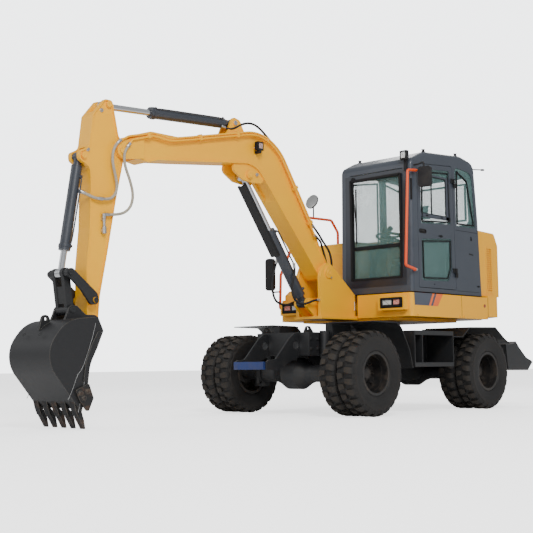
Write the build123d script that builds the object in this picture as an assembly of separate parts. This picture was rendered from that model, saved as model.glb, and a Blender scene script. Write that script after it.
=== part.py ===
from build123d import *
import math
import os

# Wheeled excavator, in millimetres. +X points to the front, where the boom is, +Y to the left, +Z up.
# While it is modelled, x = 0 is halfway between the axles, y = 0 the middle plane and z = 0 the ground.
# At the end everything is moved along X, so that the origin is under the middle of the machine's box.

# Running gear
wheelbase = 2100
front_x = wheelbase / 2
rear_x = -front_x
tyre_radius = 430
tyre_width = 216
lug_count = 24
lug_height = 22
lug_inner = 14
groove_width = 36
twin_spacing = 225
outer_tyre_y = 975
rim_radius = 205
rim_wall = 12
rim_lip = 16
lip_width = 8
disc_thickness = 16
hub_radius = 105
hub_inner_depth = 95
hub_outer_depth = 75
spindle_radius = 50
kingpin_y = 565
kingpin_radius = 22
axle_tube_radius = 88
axle_flange_radius = 106
differential_radius = 165
yoke_half_height = 135
yoke_thickness = 28
yoke_half_length = 50

# Chassis
frame_half_width = 330
frame_top_z = 860
frame_bottom_z = 620
belly_half_width = 300
belly_front_x = front_x - 510
belly_rear_x = rear_x + 190
beam_half_width = 370
bar_half_width = 210
gusset_thickness = 20
sheet = 12
fender_thickness = 10
fender_inner_y = 400
side_reach_y = 1000
slew_x = -100
slew_radius = 400
slew_bearing_z = (930, 999.4)
lock_y = 395
lock_radius = 54
box_x = (rear_x + 609, front_x - 750)

# Blade
blade_pivot = (rear_x - 350, 480)
blade_cylinder_foot = (rear_x - 320, 780)
blade_cylinder_rod = (rear_x - 690, 600)
blade_pin_radius = 24
blade_arm_y = (290, 340)

# Upper structure
deck_z = 1000
deck_plate_z = (1035, 1060)
base_plate_z = (1015, 1045)
upper_half_width = 955
skirt_front_x = 260
skirt_joint_x = -1260
skirt_thickness = 30
skirt_bottom_z = 1030
skirt_inner_y = 212
floor_z = 1300
tail_radius = 1700
ear_half_gap = 135
ear_thickness = 45
lamp_box_y = (upper_half_width - 415, upper_half_width - 55)
lamp_box_z = (1100, 1255)
lamp_box_x = (260, 325)
lamp_wall = 28

# Cab
cab_roof_z = 2915
cab_brow_z = 2862
cab_left_y = upper_half_width - 25
cab_right_y = -60
cab_front_x = 212
cab_wall = 45
cab_floor_z = floor_z + cab_wall
door_front_x = 90
door_rear_x = -610
door_bottom_z = 1345
door_gap = 6
glass_thickness = 6
mirror_overhang = 175
mirror_reach = upper_half_width + mirror_overhang
rail_radius = 17

# Working equipment, as pins in X and Z
boom_foot = (720, 1520)
boom_nose = (3503, 2464)
boom_cylinder_top = (1852, 2461)
boom_cylinder_foot = (938, 1188)
arm_cylinder_foot = (2028, 2972)
arm_cylinder_rod = (3635, 2869)
bucket_cylinder_foot = (3904, 2366)
bucket_cylinder_rod = (4076, 1324)
lever_pin = (3813, 1100)
link_pin = (4029, 1008)
bucket_pin = (3794, 917)
boom_half_width = 105
arm_half_width = 85
bucket_half_width = 300
bucket_plate = 16
flange_reach = 12
lug_thickness = 26
boom_pin_radius = 32
nose_pin_radius = 30
tool_pin_radius = 26

# Fits
pin_clearance = 0.1
side_clearance = 5
seat_gap = 0.3
fork_inner = arm_half_width + side_clearance


def outline(rows):
    """A closed flat shape in X and Z; each row is x, z and the corner's radius."""
    points = [(row[0], row[1]) for row in rows]
    radii = [row[2] if len(row) > 2 else 0 for row in rows]
    return make_face(FilletPolyline(*points, radius=radii, close=True))


def slab(face, y_low, y_high):
    """A flat shape in X and Z made solid from y_low to y_high."""
    return extrude(Plane.XZ.offset(-y_high) * face, amount=y_high - y_low)


def level(face, z_low, z_high):
    """A flat shape in X and Y made solid from z_low to z_high."""
    return extrude(Pos(0, 0, z_low) * face, amount=z_high - z_low)


def block(x, y, z):
    """A box from pairs of low and high x, y and z."""
    middle = Pos((x[0] + x[1]) / 2, (y[0] + y[1]) / 2, (z[0] + z[1]) / 2)
    return middle * Box(x[1] - x[0], y[1] - y[0], z[1] - z[0])


def across(pin, radius, y_low, y_high):
    """A round bar across the machine at a pin's x and z."""
    turned = Pos(pin[0], (y_low + y_high) / 2, pin[1]) * Rot(90, 0, 0)
    return turned * Cylinder(radius, y_high - y_low)


def upright(x, y, radius, z_low, z_high):
    """A round bar that stands up."""
    return Pos(x, y, (z_low + z_high) / 2) * Cylinder(radius, z_high - z_low)


def bar_x(radius, x_low, x_high):
    """A round bar along X."""
    return Pos((x_low + x_high) / 2, 0, 0) * Rot(0, 90, 0) * Cylinder(radius, x_high - x_low)


def mirrored(shape):
    return mirror(shape, about=Plane.XZ)


def both_sides(shape):
    return [shape, mirrored(shape)]


def fuse(shapes):
    total = shapes[0]
    for shape in shapes[1:]:
        total = total + shape
    return total


def pair(shape):
    """A shape joined with its mirror image."""
    return shape + mirrored(shape)


def bent_plate(points, radii, thickness, y_low, y_high):
    """A plate bent along a line in X and Z, thickness across the line."""
    line = FilletPolyline(*points, radius=radii)
    return slab(trace(line, line_width=thickness), y_low, y_high)


def bent_tube(points, bend, radius):
    """A tube along straight runs joined by arcs, in space."""
    path = FilletPolyline(*points, radius=bend)
    section = Plane(origin=path @ 0, z_dir=path % 0) * Circle(radius)
    return sweep(section, path=path)


def length_of(start, end):
    return math.hypot(end[0] - start[0], end[1] - start[1])


def on_line(start, end, shape):
    """Moves a shape made along +X from 0 onto the line from one pin to the other."""
    angle = math.degrees(math.atan2(end[1] - start[1], end[0] - start[0]))
    return Pos(start[0], 0, start[1]) * Rot(0, -angle, 0) * shape


def from_pin(rows, pin):
    """Rows measured from a pin, as rows measured from the origin."""
    return [(pin[0] + row[0], pin[1] + row[1]) + tuple(row[2:]) for row in rows]


nodes = {}

# Wheels, each a pair of tyres on one rim
axle_x = {"front": front_x, "rear": rear_x}
axle_z = tyre_radius
twin_middle_y = outer_tyre_y - twin_spacing / 2
bead_half = tyre_width / 2 - 34
rim_half = twin_spacing / 2 + bead_half + seat_gap + lip_width


def tyre():
    half = tyre_width / 2
    rows = [
        # radius, width
        (rim_radius + seat_gap, -bead_half),
        (rim_radius + rim_lip + 4, -bead_half),
        (rim_radius + 45, 8 - half),
        (rim_radius + 125, -half),
        (tyre_radius - 28, 3 - half),
        (tyre_radius, 30 - half),
    ]
    rows = rows + [(radius, -width) for radius, width in reversed(rows)]
    carcass = revolve(make_face(Polyline(*rows, close=True)), axis=Axis.Y)
    groove = Pos(tyre_radius, (half + lug_inner) / 2, 0) * Box(2 * lug_height, half - lug_inner, groove_width)
    pitch = 360 / lug_count
    grooves = [Rot(0, i * pitch, 0) * groove for i in range(lug_count)]
    grooves = grooves + [Rot(0, (i + 0.5) * pitch, 0) * mirrored(groove) for i in range(lug_count)]
    return carcass - grooves


def rim():
    inner = rim_radius - rim_wall
    neck = hub_radius - 40
    bore = spindle_radius + pin_clearance
    rows = [
        # radius, width
        (rim_radius, -rim_half),
        (rim_radius, rim_half),
        (inner, rim_half),
        (inner, disc_thickness),
        (neck, disc_thickness),
        (neck, hub_outer_depth),
        (bore, hub_outer_depth),
        (bore, -hub_inner_depth),
        (hub_radius, -hub_inner_depth),
        (hub_radius, 0),
        (inner, 0),
        (inner, -rim_half),
    ]
    body = revolve(make_face(Polyline(*rows, close=True)), axis=Axis.Y)
    ring = Cylinder(rim_radius + rim_lip, lip_width) - Cylinder(inner, lip_width)
    for side in (-1, 1):
        body = body + Pos(0, side * (rim_half - lip_width / 2), 0) * Rot(90, 0, 0) * ring
    return body


one_tyre = tyre()
one_rim = rim()
for end, x in axle_x.items():
    for side, sign in (("left", 1), ("right", -1)):
        place = Pos(x, sign * twin_middle_y, axle_z) * Rot(0, 0, 90 - 90 * sign)
        tyres = [place * Pos(0, s * twin_spacing / 2, 0) * one_tyre for s in (-1, 1)]
        nodes[f"tyres_{end}_{side}"] = tyres
        nodes[f"rim_{end}_{side}"] = [place * one_rim]

# Axles: a housing with the differential in the middle
spindle_end_y = twin_middle_y + hub_outer_depth - 15
hub_back_y = twin_middle_y - hub_inner_depth


def axle_housing(tube_end):
    rows = [
        # radius, y from the middle out
        (0, 0),
        (differential_radius, 0),
        (differential_radius, 90),
        (axle_tube_radius + 22, 190),
        (axle_tube_radius, 260),
        (axle_tube_radius, tube_end - 30),
        (axle_flange_radius, tube_end - 30),
        (axle_flange_radius, tube_end),
        (0, tube_end),
    ]
    return pair(revolve(make_face(Polyline(*rows, close=True)), axis=Axis.Y))


yoke_x = (front_x - yoke_half_length, front_x + yoke_half_length)
yoke_inner_y = kingpin_y - 85
pin_depth = 45
yoke = block(
    yoke_x,
    (yoke_inner_y - 30, yoke_inner_y),
    (axle_z - yoke_half_height, axle_z + yoke_half_height),
)
for up in (1, -1):
    z_outer = axle_z + up * yoke_half_height
    z_inner = z_outer - up * yoke_thickness
    z_pair = (min(z_outer, z_inner), max(z_outer, z_inner))
    z_pin = z_inner - up * pin_depth
    yoke = yoke + block(yoke_x, (yoke_inner_y, kingpin_y), z_pair)
    yoke = yoke + upright(front_x, kingpin_y, yoke_half_length, *z_pair)
    yoke = yoke + upright(front_x, kingpin_y, kingpin_radius, min(z_inner, z_pin), max(z_inner, z_pin))
trunnion = block((front_x - 90, front_x + 90), (-80, 80), (axle_z + 140, frame_bottom_z - seat_gap))
front_axle = Pos(front_x, 0, axle_z) * axle_housing(yoke_inner_y) + pair(yoke) + trunnion
nodes["front_axle"] = [front_axle]

rear_tube_end = hub_back_y - side_clearance
spindle = across((rear_x, axle_z), spindle_radius, rear_tube_end, spindle_end_y)
spring_pad = block((rear_x - 70, rear_x + 70), (250, 320), (axle_z + 60, frame_bottom_z - seat_gap))
nodes["rear_axle"] = [Pos(rear_x, 0, axle_z) * axle_housing(rear_tube_end) + pair(spindle + spring_pad)]

# Steering knuckles: kingpin block, spindle and steering arm
knuckle_half = yoke_half_height - yoke_thickness - 1
knuckle_z = (axle_z - knuckle_half, axle_z + knuckle_half)
steering_arm_rows = [
    # x from the kingpin, y from the kingpin
    (0, 0),
    (0, 46),
    (-190, 22),
    (-190, -18),
]
arm_corners = [(front_x + x, kingpin_y + y) for x, y in steering_arm_rows]
knuckle = fuse([
    upright(front_x, kingpin_y, 46, *knuckle_z),
    across((front_x, axle_z), 62, kingpin_y, rear_tube_end),
    across((front_x, axle_z), spindle_radius, kingpin_y, spindle_end_y),
    level(make_face(Polyline(*arm_corners, close=True)), axle_z - 70, axle_z - 45),
])
for low, high in ((knuckle_z[0], knuckle_z[0] + pin_depth), (knuckle_z[1] - pin_depth, knuckle_z[1])):
    knuckle = knuckle - upright(front_x, kingpin_y, kingpin_radius + pin_clearance, low, high)
nodes["knuckle_left"] = [knuckle]
nodes["knuckle_right"] = [mirrored(knuckle)]

# Chassis frame
cross_front_x = (front_x + 60, front_x + 220)
cross_rear_x = (rear_x - 260, rear_x - 80)
frame_z = (frame_bottom_z, frame_top_z)
frame = block((cross_rear_x[0], cross_front_x[1]), (-frame_half_width, frame_half_width), frame_z)
for span in (cross_front_x, cross_rear_x):
    frame = frame + block(span, (-beam_half_width, beam_half_width), frame_z)
belly_rows = [
    # x, z, corner radius
    (belly_front_x, frame_bottom_z),
    (belly_front_x, 385, 20),
    (belly_front_x - 50, 330, 20),
    (belly_rear_x + 110, 330),
    (belly_rear_x + 60, 378),
    (belly_rear_x, 380),
    (belly_rear_x, frame_bottom_z),
]
frame = frame + slab(outline(belly_rows), -belly_half_width, belly_half_width)
frame = frame + upright(slew_x, 0, slew_radius, frame_top_z, slew_bearing_z[0])
bracket_front_x = cross_front_x[1] + seat_gap
gusset_rows = [
    # x, z, corner radius
    (bracket_front_x, 850),
    (front_x + 284, 850),
    (front_x + 364, 797),
    (front_x + 575, 582, 40),
    (front_x + 677, 573),
    (front_x + 710, 560),
    (front_x + 710, 479),
    (front_x + 538, 473, 30),
    (bracket_front_x, 616),
]
gusset_hole = (front_x + 270, 726)
gusset_y = (bar_half_width, bar_half_width + gusset_thickness)
gusset = slab(outline(gusset_rows), *gusset_y) - across(gusset_hole, 42, *gusset_y)
eye_rows = [
    # x, z, corner radius
    (front_x + 80, frame_top_z),
    (front_x + 220, frame_top_z),
    (front_x + 185, 925, 30),
    (front_x + 135, 925, 30),
]
eye_hole = (front_x + 160, 897)
eye_y = (290, 310)
lifting_eye = slab(outline(eye_rows), *eye_y) - across(eye_hole, 17, *eye_y)
front_fender_rows = [
    # x, z of each bend
    (front_x - 50, 956),
    (front_x - 438, 953),
    (front_x - 516, 905),
    (front_x - 660, 669),
    (front_x - 716, 478),
]
rear_fender_rows = [
    # x, z of each bend
    (box_x[0] - 6, 818),
    (rear_x + 419, 818),
    (rear_x + 268, 926),
    (rear_x - 285, 936),
    (rear_x - 493, 802),
    (rear_x - 605, 753),
]


def carrier(start, end, x_low, x_high):
    """A box section under a fender's flat stretch, from the frame outwards."""
    slope = (end[1] - start[1]) / (end[0] - start[0])
    drop = fender_thickness / 2 + seat_gap
    tops = [(x, start[1] + slope * (x - start[0]) - drop) for x in (x_low, x_high)]
    bottom_z = frame_top_z - 80
    corners = [(x_low, bottom_z), (x_high, bottom_z), tops[1], tops[0]]
    return slab(outline(corners), frame_half_width, fender_inner_y + 25)


front_carrier = carrier(front_fender_rows[0], front_fender_rows[1], front_x - 400, front_x - 90)
rear_carrier = carrier(rear_fender_rows[2], rear_fender_rows[3], rear_x - 270, rear_x + 250)
bracket_rear_x = cross_rear_x[0] - seat_gap
bracket_rows = [
    # x, z, corner radius
    (bracket_rear_x, 820),
    (bracket_rear_x, 600),
    (rear_x - 310, 420, 20),
    (rear_x - 400, 430, 40),
    (rear_x - 390, 560, 40),
]
blade_bracket = slab(outline(bracket_rows), blade_arm_y[0] - 35, blade_arm_y[0] - side_clearance)
blade_pin_y = (blade_arm_y[0] - 35, blade_arm_y[1] + 12)
blade_bracket = blade_bracket + across(blade_pivot, blade_pin_radius, *blade_pin_y)
foot_lug_rows = [
    # x, z, corner radius
    (bracket_rear_x, 840),
    (bracket_rear_x, 700),
    (rear_x - 350, 745, 30),
    (rear_x - 350, 815, 30),
]
foot_lug_y = (35, 55)
blade_foot_lug = slab(outline(foot_lug_rows), *foot_lug_y)
blade_foot_lug = blade_foot_lug + across(blade_cylinder_foot, 18, 0, foot_lug_y[1])
for piece in (lifting_eye, front_carrier, rear_carrier):
    frame = frame + pair(piece)
nodes["chassis_frame"] = [frame]
nodes["front_gussets"] = both_sides(gusset)
nodes["blade_brackets"] = both_sides(blade_bracket) + [pair(blade_foot_lug)]

bar_reach = bar_half_width - seat_gap
nodes["bumper_bar"] = [block((front_x + 672, front_x + 740), (-bar_reach, bar_reach), (479, 558))]

# Slew bearing: the lower half stays on the chassis
bearing = upright(slew_x, 0, slew_radius + 25, *slew_bearing_z)
nodes["slew_ring"] = [Pos(0, 0, seat_gap) * (bearing - upright(slew_x, 0, 250, *slew_bearing_z))]

# Side boxes: open bays between the wheels
box_z = (490, frame_top_z + 16)
box_back_y = 640
box_divider_x = box_x[1] - 150
valve_width = 230
valve_x = (box_x[0] + box_x[1]) / 2 - 69.5
lip_depth = 14
bay_y = (box_back_y + sheet, side_reach_y)
side_box = block(box_x, (box_back_y, side_reach_y), box_z)
side_box = side_box - block((box_x[0] + sheet, box_x[1] - sheet), bay_y, (box_z[0] + sheet, box_z[1] - sheet))
side_box = side_box + block((box_divider_x, box_divider_x + sheet), bay_y, box_z)
lip_y = (side_reach_y - lip_depth, side_reach_y)
side_box = side_box + block(box_x, lip_y, (box_z[1] - 48, box_z[1]))
side_box = side_box + block(box_x, lip_y, (box_z[0], box_z[0] + 46))
for x in (box_x[0] + 80, box_x[1] - 120):
    side_box = side_box + block((x, x + sheet), (frame_half_width + seat_gap, box_back_y), (650, box_z[1]))
side_box = side_box + block((valve_x, valve_x + valve_width), (box_back_y, box_back_y + 120), (box_z[0], 740))
nodes["side_boxes"] = both_sides(side_box)

# Fenders: bent plates, front and rear on both sides
fenders = []
for points, radii in ((front_fender_rows, [70, 160, 400]), (rear_fender_rows, 20)):
    inner_y = fender_inner_y + seat_gap
    fenders = fenders + both_sides(bent_plate(points, radii, fender_thickness, inner_y, side_reach_y))
nodes["fenders"] = fenders

# Axle locks: upright cylinders between the frame and the front axle
lock_foot_z = axle_z + axle_tube_radius + 3
lock = upright(front_x, lock_y, lock_radius, 600, frame_top_z + 15)
lock = lock + upright(front_x, lock_y, 34, lock_foot_z, 600)
lock = lock + block((front_x - 30, front_x + 30), (frame_half_width + seat_gap, lock_y), (680, 840))
nodes["axle_locks"] = both_sides(lock)

# Drive shafts from the gearbox in the belly to the two axles
shaft_spans = [
    # x from, x to
    (belly_front_x + seat_gap, front_x - differential_radius - seat_gap),
    (rear_x + differential_radius + seat_gap, belly_rear_x - seat_gap),
]
shafts = []
for x_from, x_to in shaft_spans:
    shaft = bar_x(38, x_from, x_to) + bar_x(62, x_from, x_from + 12) + bar_x(62, x_to - 12, x_to)
    shafts.append(Pos(0, 0, axle_z) * shaft)
nodes["drive_shafts"] = shafts

# Blade at the rear
blade_rows = [
    # x, z, corner radius: the rear face is hollow
    (rear_x - 685, 740, 10),
    (rear_x - 742, 782, 10),
    (rear_x - 830, 700, 300),
    (rear_x - 985, 584, 200),
    (rear_x - 1100, 550),
    (rear_x - 1132, 528),
    (rear_x - 1012, 430),
    (rear_x - 960, 445),
]
blade = slab(outline(blade_rows), -side_reach_y, side_reach_y)
end_plate_rows = [(rear_x - 510, 742), (rear_x - 690, 742), (rear_x - 965, 446), (rear_x - 550, 449)]
end_plate = slab(outline(end_plate_rows), side_reach_y - 14, side_reach_y)
blade_arm_rows = [
    # x, z, corner radius
    (blade_pivot[0] + 50, blade_pivot[1] + 30, 30),
    (blade_pivot[0] + 50, blade_pivot[1] - 50, 30),
    (rear_x - 980, 470),
    (rear_x - 800, 690),
]
blade_arm = slab(outline(blade_arm_rows), *blade_arm_y)
blade_arm = blade_arm - across(blade_pivot, blade_pin_radius + pin_clearance, *blade_arm_y)
rod_lug_rows = [
    # x, z, corner radius
    (rear_x - 650, 560, 30),
    (rear_x - 650, 640, 30),
    (rear_x - 740, 720),
    (rear_x - 880, 600),
    (rear_x - 810, 500),
]
rod_lug = slab(outline(rod_lug_rows), 40, 60)
for piece in (end_plate, blade_arm, rod_lug):
    blade = blade + pair(piece)
nodes["blade"] = [blade]


def cylinder_pair(row):
    """A barrel with its eye at the foot pin and a rod with its solid eye at the tip pin."""
    length = length_of(row["foot"], row["tip"])
    eye_bar = Rot(90, 0, 0) * Cylinder(row["eye"], 2 * row["half"])
    foot_hole = Rot(90, 0, 0) * Cylinder(row["pin"] + pin_clearance, 4 * row["half"])
    bore_start = row["start"] + 30
    barrel = bar_x(row["bore"], row["start"], row["end"]) + bar_x(row["rod"] + 6, 0, row["start"] + 1)
    barrel = barrel + bar_x(row["bore"] + 4, row["end"] - 55, row["end"])
    barrel = barrel + eye_bar - foot_hole - bar_x(row["rod"] + 1, bore_start, row["end"])
    rod_start = bore_start + 15 + row["closing"]
    rod = bar_x(row["rod"], rod_start, length) + Pos(length, 0, 0) * eye_bar
    return on_line(row["foot"], row["tip"], barrel), on_line(row["foot"], row["tip"], rod)


# closing is how far each rod moves in from the modelled pose
columns = ("name", "foot", "tip", "bore", "rod", "start", "end", "eye", "half", "pin", "closing")
cylinder_rows = [
    ("blade", blade_cylinder_foot, blade_cylinder_rod, 38, 20, 60, 330, 32, 30, 18, 0),
    ("boom", boom_cylinder_foot, boom_cylinder_top, 60, 34, 95, 910, 52, 54, 28, 380),
    ("arm", arm_cylinder_foot, arm_cylinder_rod, 52, 30, 100, 1065, 48, 38, 26, 392),
    ("bucket", bucket_cylinder_foot, bucket_cylinder_rod, 48, 28, 85, 850, 42, 36, 24, 98),
]
cylinders = {row[0]: dict(zip(columns, row)) for row in cylinder_rows}
for name, row in cylinders.items():
    barrel, rod = cylinder_pair(row)
    nodes[f"{name}_cylinder_barrel"] = [barrel]
    nodes[f"{name}_cylinder_rod"] = [rod]

# Guard over the boom cylinder's rod: a channel that moves with the rod
boom_row = cylinders["boom"]
boom_stroke_length = length_of(boom_cylinder_foot, boom_cylinder_top)
guard_x = (boom_stroke_length - 930, boom_stroke_length - 75)
guard_half = boom_row["half"]
guard_z = (-84, -78)
guard = block(guard_x, (-guard_half, guard_half), guard_z)
guard = guard + pair(block(guard_x, (guard_half - 6, guard_half), (guard_z[0], -52)))
guard = guard + block((guard_x[1] - 50, guard_x[1] - 10), (-20, 20), (guard_z[1], -20))
guard = guard - bar_x(boom_row["rod"] + seat_gap, guard_x[0], guard_x[1])
nodes["boom_rod_guard"] = [on_line(boom_cylinder_foot, boom_cylinder_top, guard)]

# Deck: turntable, base plate and the ears that hold the boom
ear_outer = ear_half_gap + ear_thickness
deck_front_x = skirt_front_x - skirt_thickness - seat_gap
deck_half = upper_half_width - skirt_thickness - seat_gap
deck_rows = [
    # x, y
    (deck_front_x, -deck_half),
    (deck_front_x, deck_half),
    (skirt_joint_x + 20, deck_half),
    (-1500, 700),
    (-1500, -700),
    (skirt_joint_x + 20, -deck_half),
]
deck = level(make_face(Polyline(*deck_rows, close=True)), *deck_plate_z)
deck = deck + block((-1100, deck_front_x), (-620, 620), (deck_z, deck_plate_z[0]))
deck = deck + block((100, 860), (-200, 200), base_plate_z)
ear_rows = [
    # x, z, corner radius
    (skirt_front_x + 2, base_plate_z[1]),
    (850, base_plate_z[1]),
    (850, 1480, 60),
    (boom_foot[0] + 85, boom_foot[1] + 60, 60),
    (boom_foot[0], boom_foot[1] + 120, 80),
    (boom_foot[0] - 90, boom_foot[1] + 60, 60),
    (skirt_front_x + 2, 1290),
]
ear = slab(outline(ear_rows), ear_half_gap, ear_outer)
ear = ear + across(boom_foot, 62, ear_outer, ear_outer + 14)
ear = ear + across(boom_foot, boom_pin_radius, 0, ear_outer + 14)
foot_rows = [
    # x, z, corner radius
    (560, base_plate_z[1]),
    (850, base_plate_z[1]),
    (boom_cylinder_foot[0] + 60, boom_cylinder_foot[1] - 30, 50),
    (boom_cylinder_foot[0] + 30, boom_cylinder_foot[1] + 60, 50),
    (boom_cylinder_foot[0] - 70, boom_cylinder_foot[1] + 40, 50),
    (700, 1150, 60),
]
foot_inner = boom_row["half"] + side_clearance + 1
foot_lug = slab(outline(foot_rows), foot_inner, foot_inner + lug_thickness)
foot_lug = foot_lug + across(boom_cylinder_foot, boom_row["pin"], 0, foot_inner + lug_thickness + 12)
front_web = block((640, 660), (0, ear_half_gap), (base_plate_z[1], 1260))
for piece in (ear, foot_lug, front_web):
    deck = deck + pair(piece)
skirt_top_z = floor_z - 15
post_rows = [
    # x, y, top z: four mounts under the cab, and posts under the right hood and the step box
    (110, cab_right_y + 90, floor_z),
    (110, cab_left_y - 130, floor_z),
    (-1040, cab_right_y + 90, floor_z),
    (-1040, cab_left_y - 130, floor_z),
    (-400, -340, skirt_top_z),
    (-1040, -340, skirt_top_z),
    (60, -600, skirt_top_z),
]
post_half = 40
for x, y, top_z in post_rows:
    post_z = (deck_plate_z[1] - 5, top_z - seat_gap)
    deck = deck + block((x - post_half, x + post_half), (y - post_half, y + post_half), post_z)
nodes["deck_frame"] = [deck]

# Skirts: side walls with a front return, left and right, and the lamp boxes on them
skirt_inner = upper_half_width - skirt_thickness
skirt_rows = [
    # x, y, corner radius
    (skirt_front_x, skirt_inner_y),
    (skirt_front_x, upper_half_width, 45),
    (skirt_joint_x + 2, upper_half_width),
    (skirt_joint_x + 2, skirt_inner),
    (skirt_front_x - skirt_thickness, skirt_inner),
    (skirt_front_x - skirt_thickness, skirt_inner_y),
]
skirt = level(outline(skirt_rows), skirt_bottom_z, skirt_top_z)
lamp_hole = (
    (skirt_front_x + 5, lamp_box_x[1]),
    (lamp_box_y[0] + lamp_wall, lamp_box_y[1] - lamp_wall),
    (lamp_box_z[0] + lamp_wall - 6, lamp_box_z[1] - lamp_wall + 6),
)
skirt = skirt + block(lamp_box_x, lamp_box_y, lamp_box_z) - block(*lamp_hole)
nodes["skirts"] = both_sides(skirt)
lamp_spans = [(low + seat_gap, high - seat_gap) for low, high in lamp_hole]
nodes["headlamps"] = both_sides(block((lamp_spans[0][0], lamp_box_x[1] - 8), lamp_spans[1], lamp_spans[2]))

# Counterweight
tail_rows = [
    # x, y
    (skirt_joint_x, upper_half_width),
    (-1470, upper_half_width),
    (-1555, upper_half_width - 105),
]
tail_edge = [
    Line(tail_rows[0], tail_rows[1]),
    Line(tail_rows[1], tail_rows[2]),
    ThreePointArc(tail_rows[2], (slew_x - tail_radius, 0), (tail_rows[2][0], -tail_rows[2][1])),
    Line((tail_rows[2][0], -tail_rows[2][1]), (tail_rows[1][0], -tail_rows[1][1])),
    Line((tail_rows[1][0], -tail_rows[1][1]), (tail_rows[0][0], -tail_rows[0][1])),
    Line((tail_rows[0][0], -tail_rows[0][1]), tail_rows[0]),
]
weight = level(make_face(Wire(tail_edge)), deck_plate_z[1] + seat_gap, floor_z + 10)
weight = weight - block((skirt_joint_x, -1200), (-600, 600), (deck_z, floor_z + 100))
nodes["counterweight"] = [weight]

# Engine hood behind the cab, with the engine inside, and the right hood beside the cab
hood_half_width = upper_half_width - 75
hood_base_z = floor_z + 10 + seat_gap
hood_front_x = -1205
hood_rear_x = -1640
hood_rows = [
    # x, z, corner radius
    (hood_front_x, hood_base_z),
    (hood_rear_x, hood_base_z),
    (hood_rear_x, 1930, 30),
    (-1560, 2075, 40),
    (hood_front_x, 2085, 20),
]
hood_inner_rows = [
    # x, z
    (-1235, hood_base_z),
    (-1610, hood_base_z),
    (-1610, 1925),
    (-1540, 2045),
    (-1235, 2055),
]
hood = slab(outline(hood_rows), -hood_half_width, hood_half_width)
hood = hood - slab(outline(hood_inner_rows), 30 - hood_half_width, hood_half_width - 30)

# Grilles: plates with level slots, each in a shallow pocket
pocket_depth = 12
grille_proud = 2
slot_height = 12
slot_pitch = 26


def grille_and_pocket(width, height):
    """A grille standing on its lower edge in Y and Z, its face towards +X, and the pocket that it sits in."""
    plate_x = (seat_gap - pocket_depth + 4, grille_proud)
    plate = block(plate_x, (seat_gap - width / 2, width / 2 - seat_gap), (seat_gap, height - seat_gap))
    count = int((height - slot_pitch) / slot_pitch)
    first = (height - (count - 1) * slot_pitch) / 2
    slot = Box(4 * pocket_depth, width - 36, slot_height)
    slots = [Pos(0, 0, first + i * slot_pitch) * slot for i in range(count)]
    pocket = block((-pocket_depth, pocket_depth), (-width / 2, width / 2), (0, height))
    return plate - slots, pocket


rear_grille, rear_pocket = grille_and_pocket(980, 340)
side_grille, side_pocket = grille_and_pocket(150, 560)
right_grille, right_pocket = grille_and_pocket(640, 380)
at_rear = Pos(hood_rear_x, 0, 1500) * Rot(0, 0, 180)
at_side = Pos(-1436, hood_half_width, 1350) * Rot(0, 0, 90)
at_right = Pos(-720, 10 - upper_half_width, 1500) * Rot(0, 0, -90)
hood = hood - at_rear * rear_pocket - at_side * side_pocket - mirrored(at_side * side_pocket)
nodes["engine_hood"] = [hood]
nodes["hood_grilles"] = both_sides(at_side * side_grille) + [at_rear * rear_grille, at_right * right_grille]
nodes["engine_block"] = [block((-1560, -1265), (-380, 380), (hood_base_z, 1860))]
right_hood_rows = [
    # x, z, corner radius
    (-160, skirt_top_z + seat_gap),
    (hood_front_x + seat_gap, skirt_top_z + seat_gap),
    (hood_front_x + seat_gap, 2000, 20),
    (-260, 1975, 60),
    (-170, 1850, 60),
]
right_hood = slab(outline(right_hood_rows), 10 - upper_half_width, -250) - at_right * right_pocket
step_rows = [
    # x, z, corner radius
    (240, skirt_top_z + seat_gap),
    (-160 + seat_gap, skirt_top_z + seat_gap),
    (-160 + seat_gap, 1420),
    (160, 1400, 60),
    (240, 1340, 30),
]
step_box = slab(outline(step_rows), 55 - upper_half_width, -300)
nodes["right_hood"] = [right_hood, step_box]

# Cab shell
cab_rows = [
    # x, z, corner radius
    (cab_front_x, floor_z),
    (190, 2745, 90),
    (-60, cab_brow_z, 300),
    (-800, cab_roof_z, 300),
    (-1085, 2860, 130),
    (-1150, 2200),
    (-1195, floor_z),
]
cab_inner_rows = [
    # x, z, corner radius
    (cab_front_x - cab_wall, cab_floor_z),
    (190 - cab_wall, 2700, 60),
    (-60, cab_brow_z - cab_wall, 300),
    (-800, cab_roof_z - cab_wall, 300),
    (cab_wall - 1085, 2820, 90),
    (cab_wall - 1195, cab_floor_z),
]
cab = slab(outline(cab_rows), cab_right_y, cab_left_y)
roof_edges = cab.edges().filter_by(Axis.Y, reverse=True).filter_by(lambda edge: edge.center().Z > 2650)
cab = fillet(roof_edges, 40)
cab = cab - slab(outline(cab_inner_rows), cab_right_y + cab_wall, cab_left_y - cab_wall)
left_wall = (cab_left_y - cab_wall - 10, cab_left_y + 20)
right_wall = (cab_right_y - 20, cab_right_y + cab_wall + 10)
rear_left_window = [(-665, 2080, 30), (-665, 2760, 40), (-1020, 2740, 120), (-1070, 2090, 30)]
right_front_window = [(130, 1420, 60), (120, 2640, 60), (-540, 2720, 40), (-540, 1420, 40)]
right_rear_window = [(-620, 1900, 40), (-620, 2720, 40), (-1040, 2700, 80), (-1080, 1900, 40)]
door_rows = [
    # x, z, corner radius
    (door_front_x, door_bottom_z, 20),
    (door_front_x, 2710, 40),
    (door_rear_x, 2765, 40),
    (door_rear_x - 30, door_bottom_z, 20),
]
side_openings = [
    # opening, wall
    (rear_left_window, left_wall),
    (right_front_window, right_wall),
    (right_rear_window, right_wall),
    (door_rows, left_wall),
]
for rows, wall in side_openings:
    cab = cab - slab(outline(rows), *wall)


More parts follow.
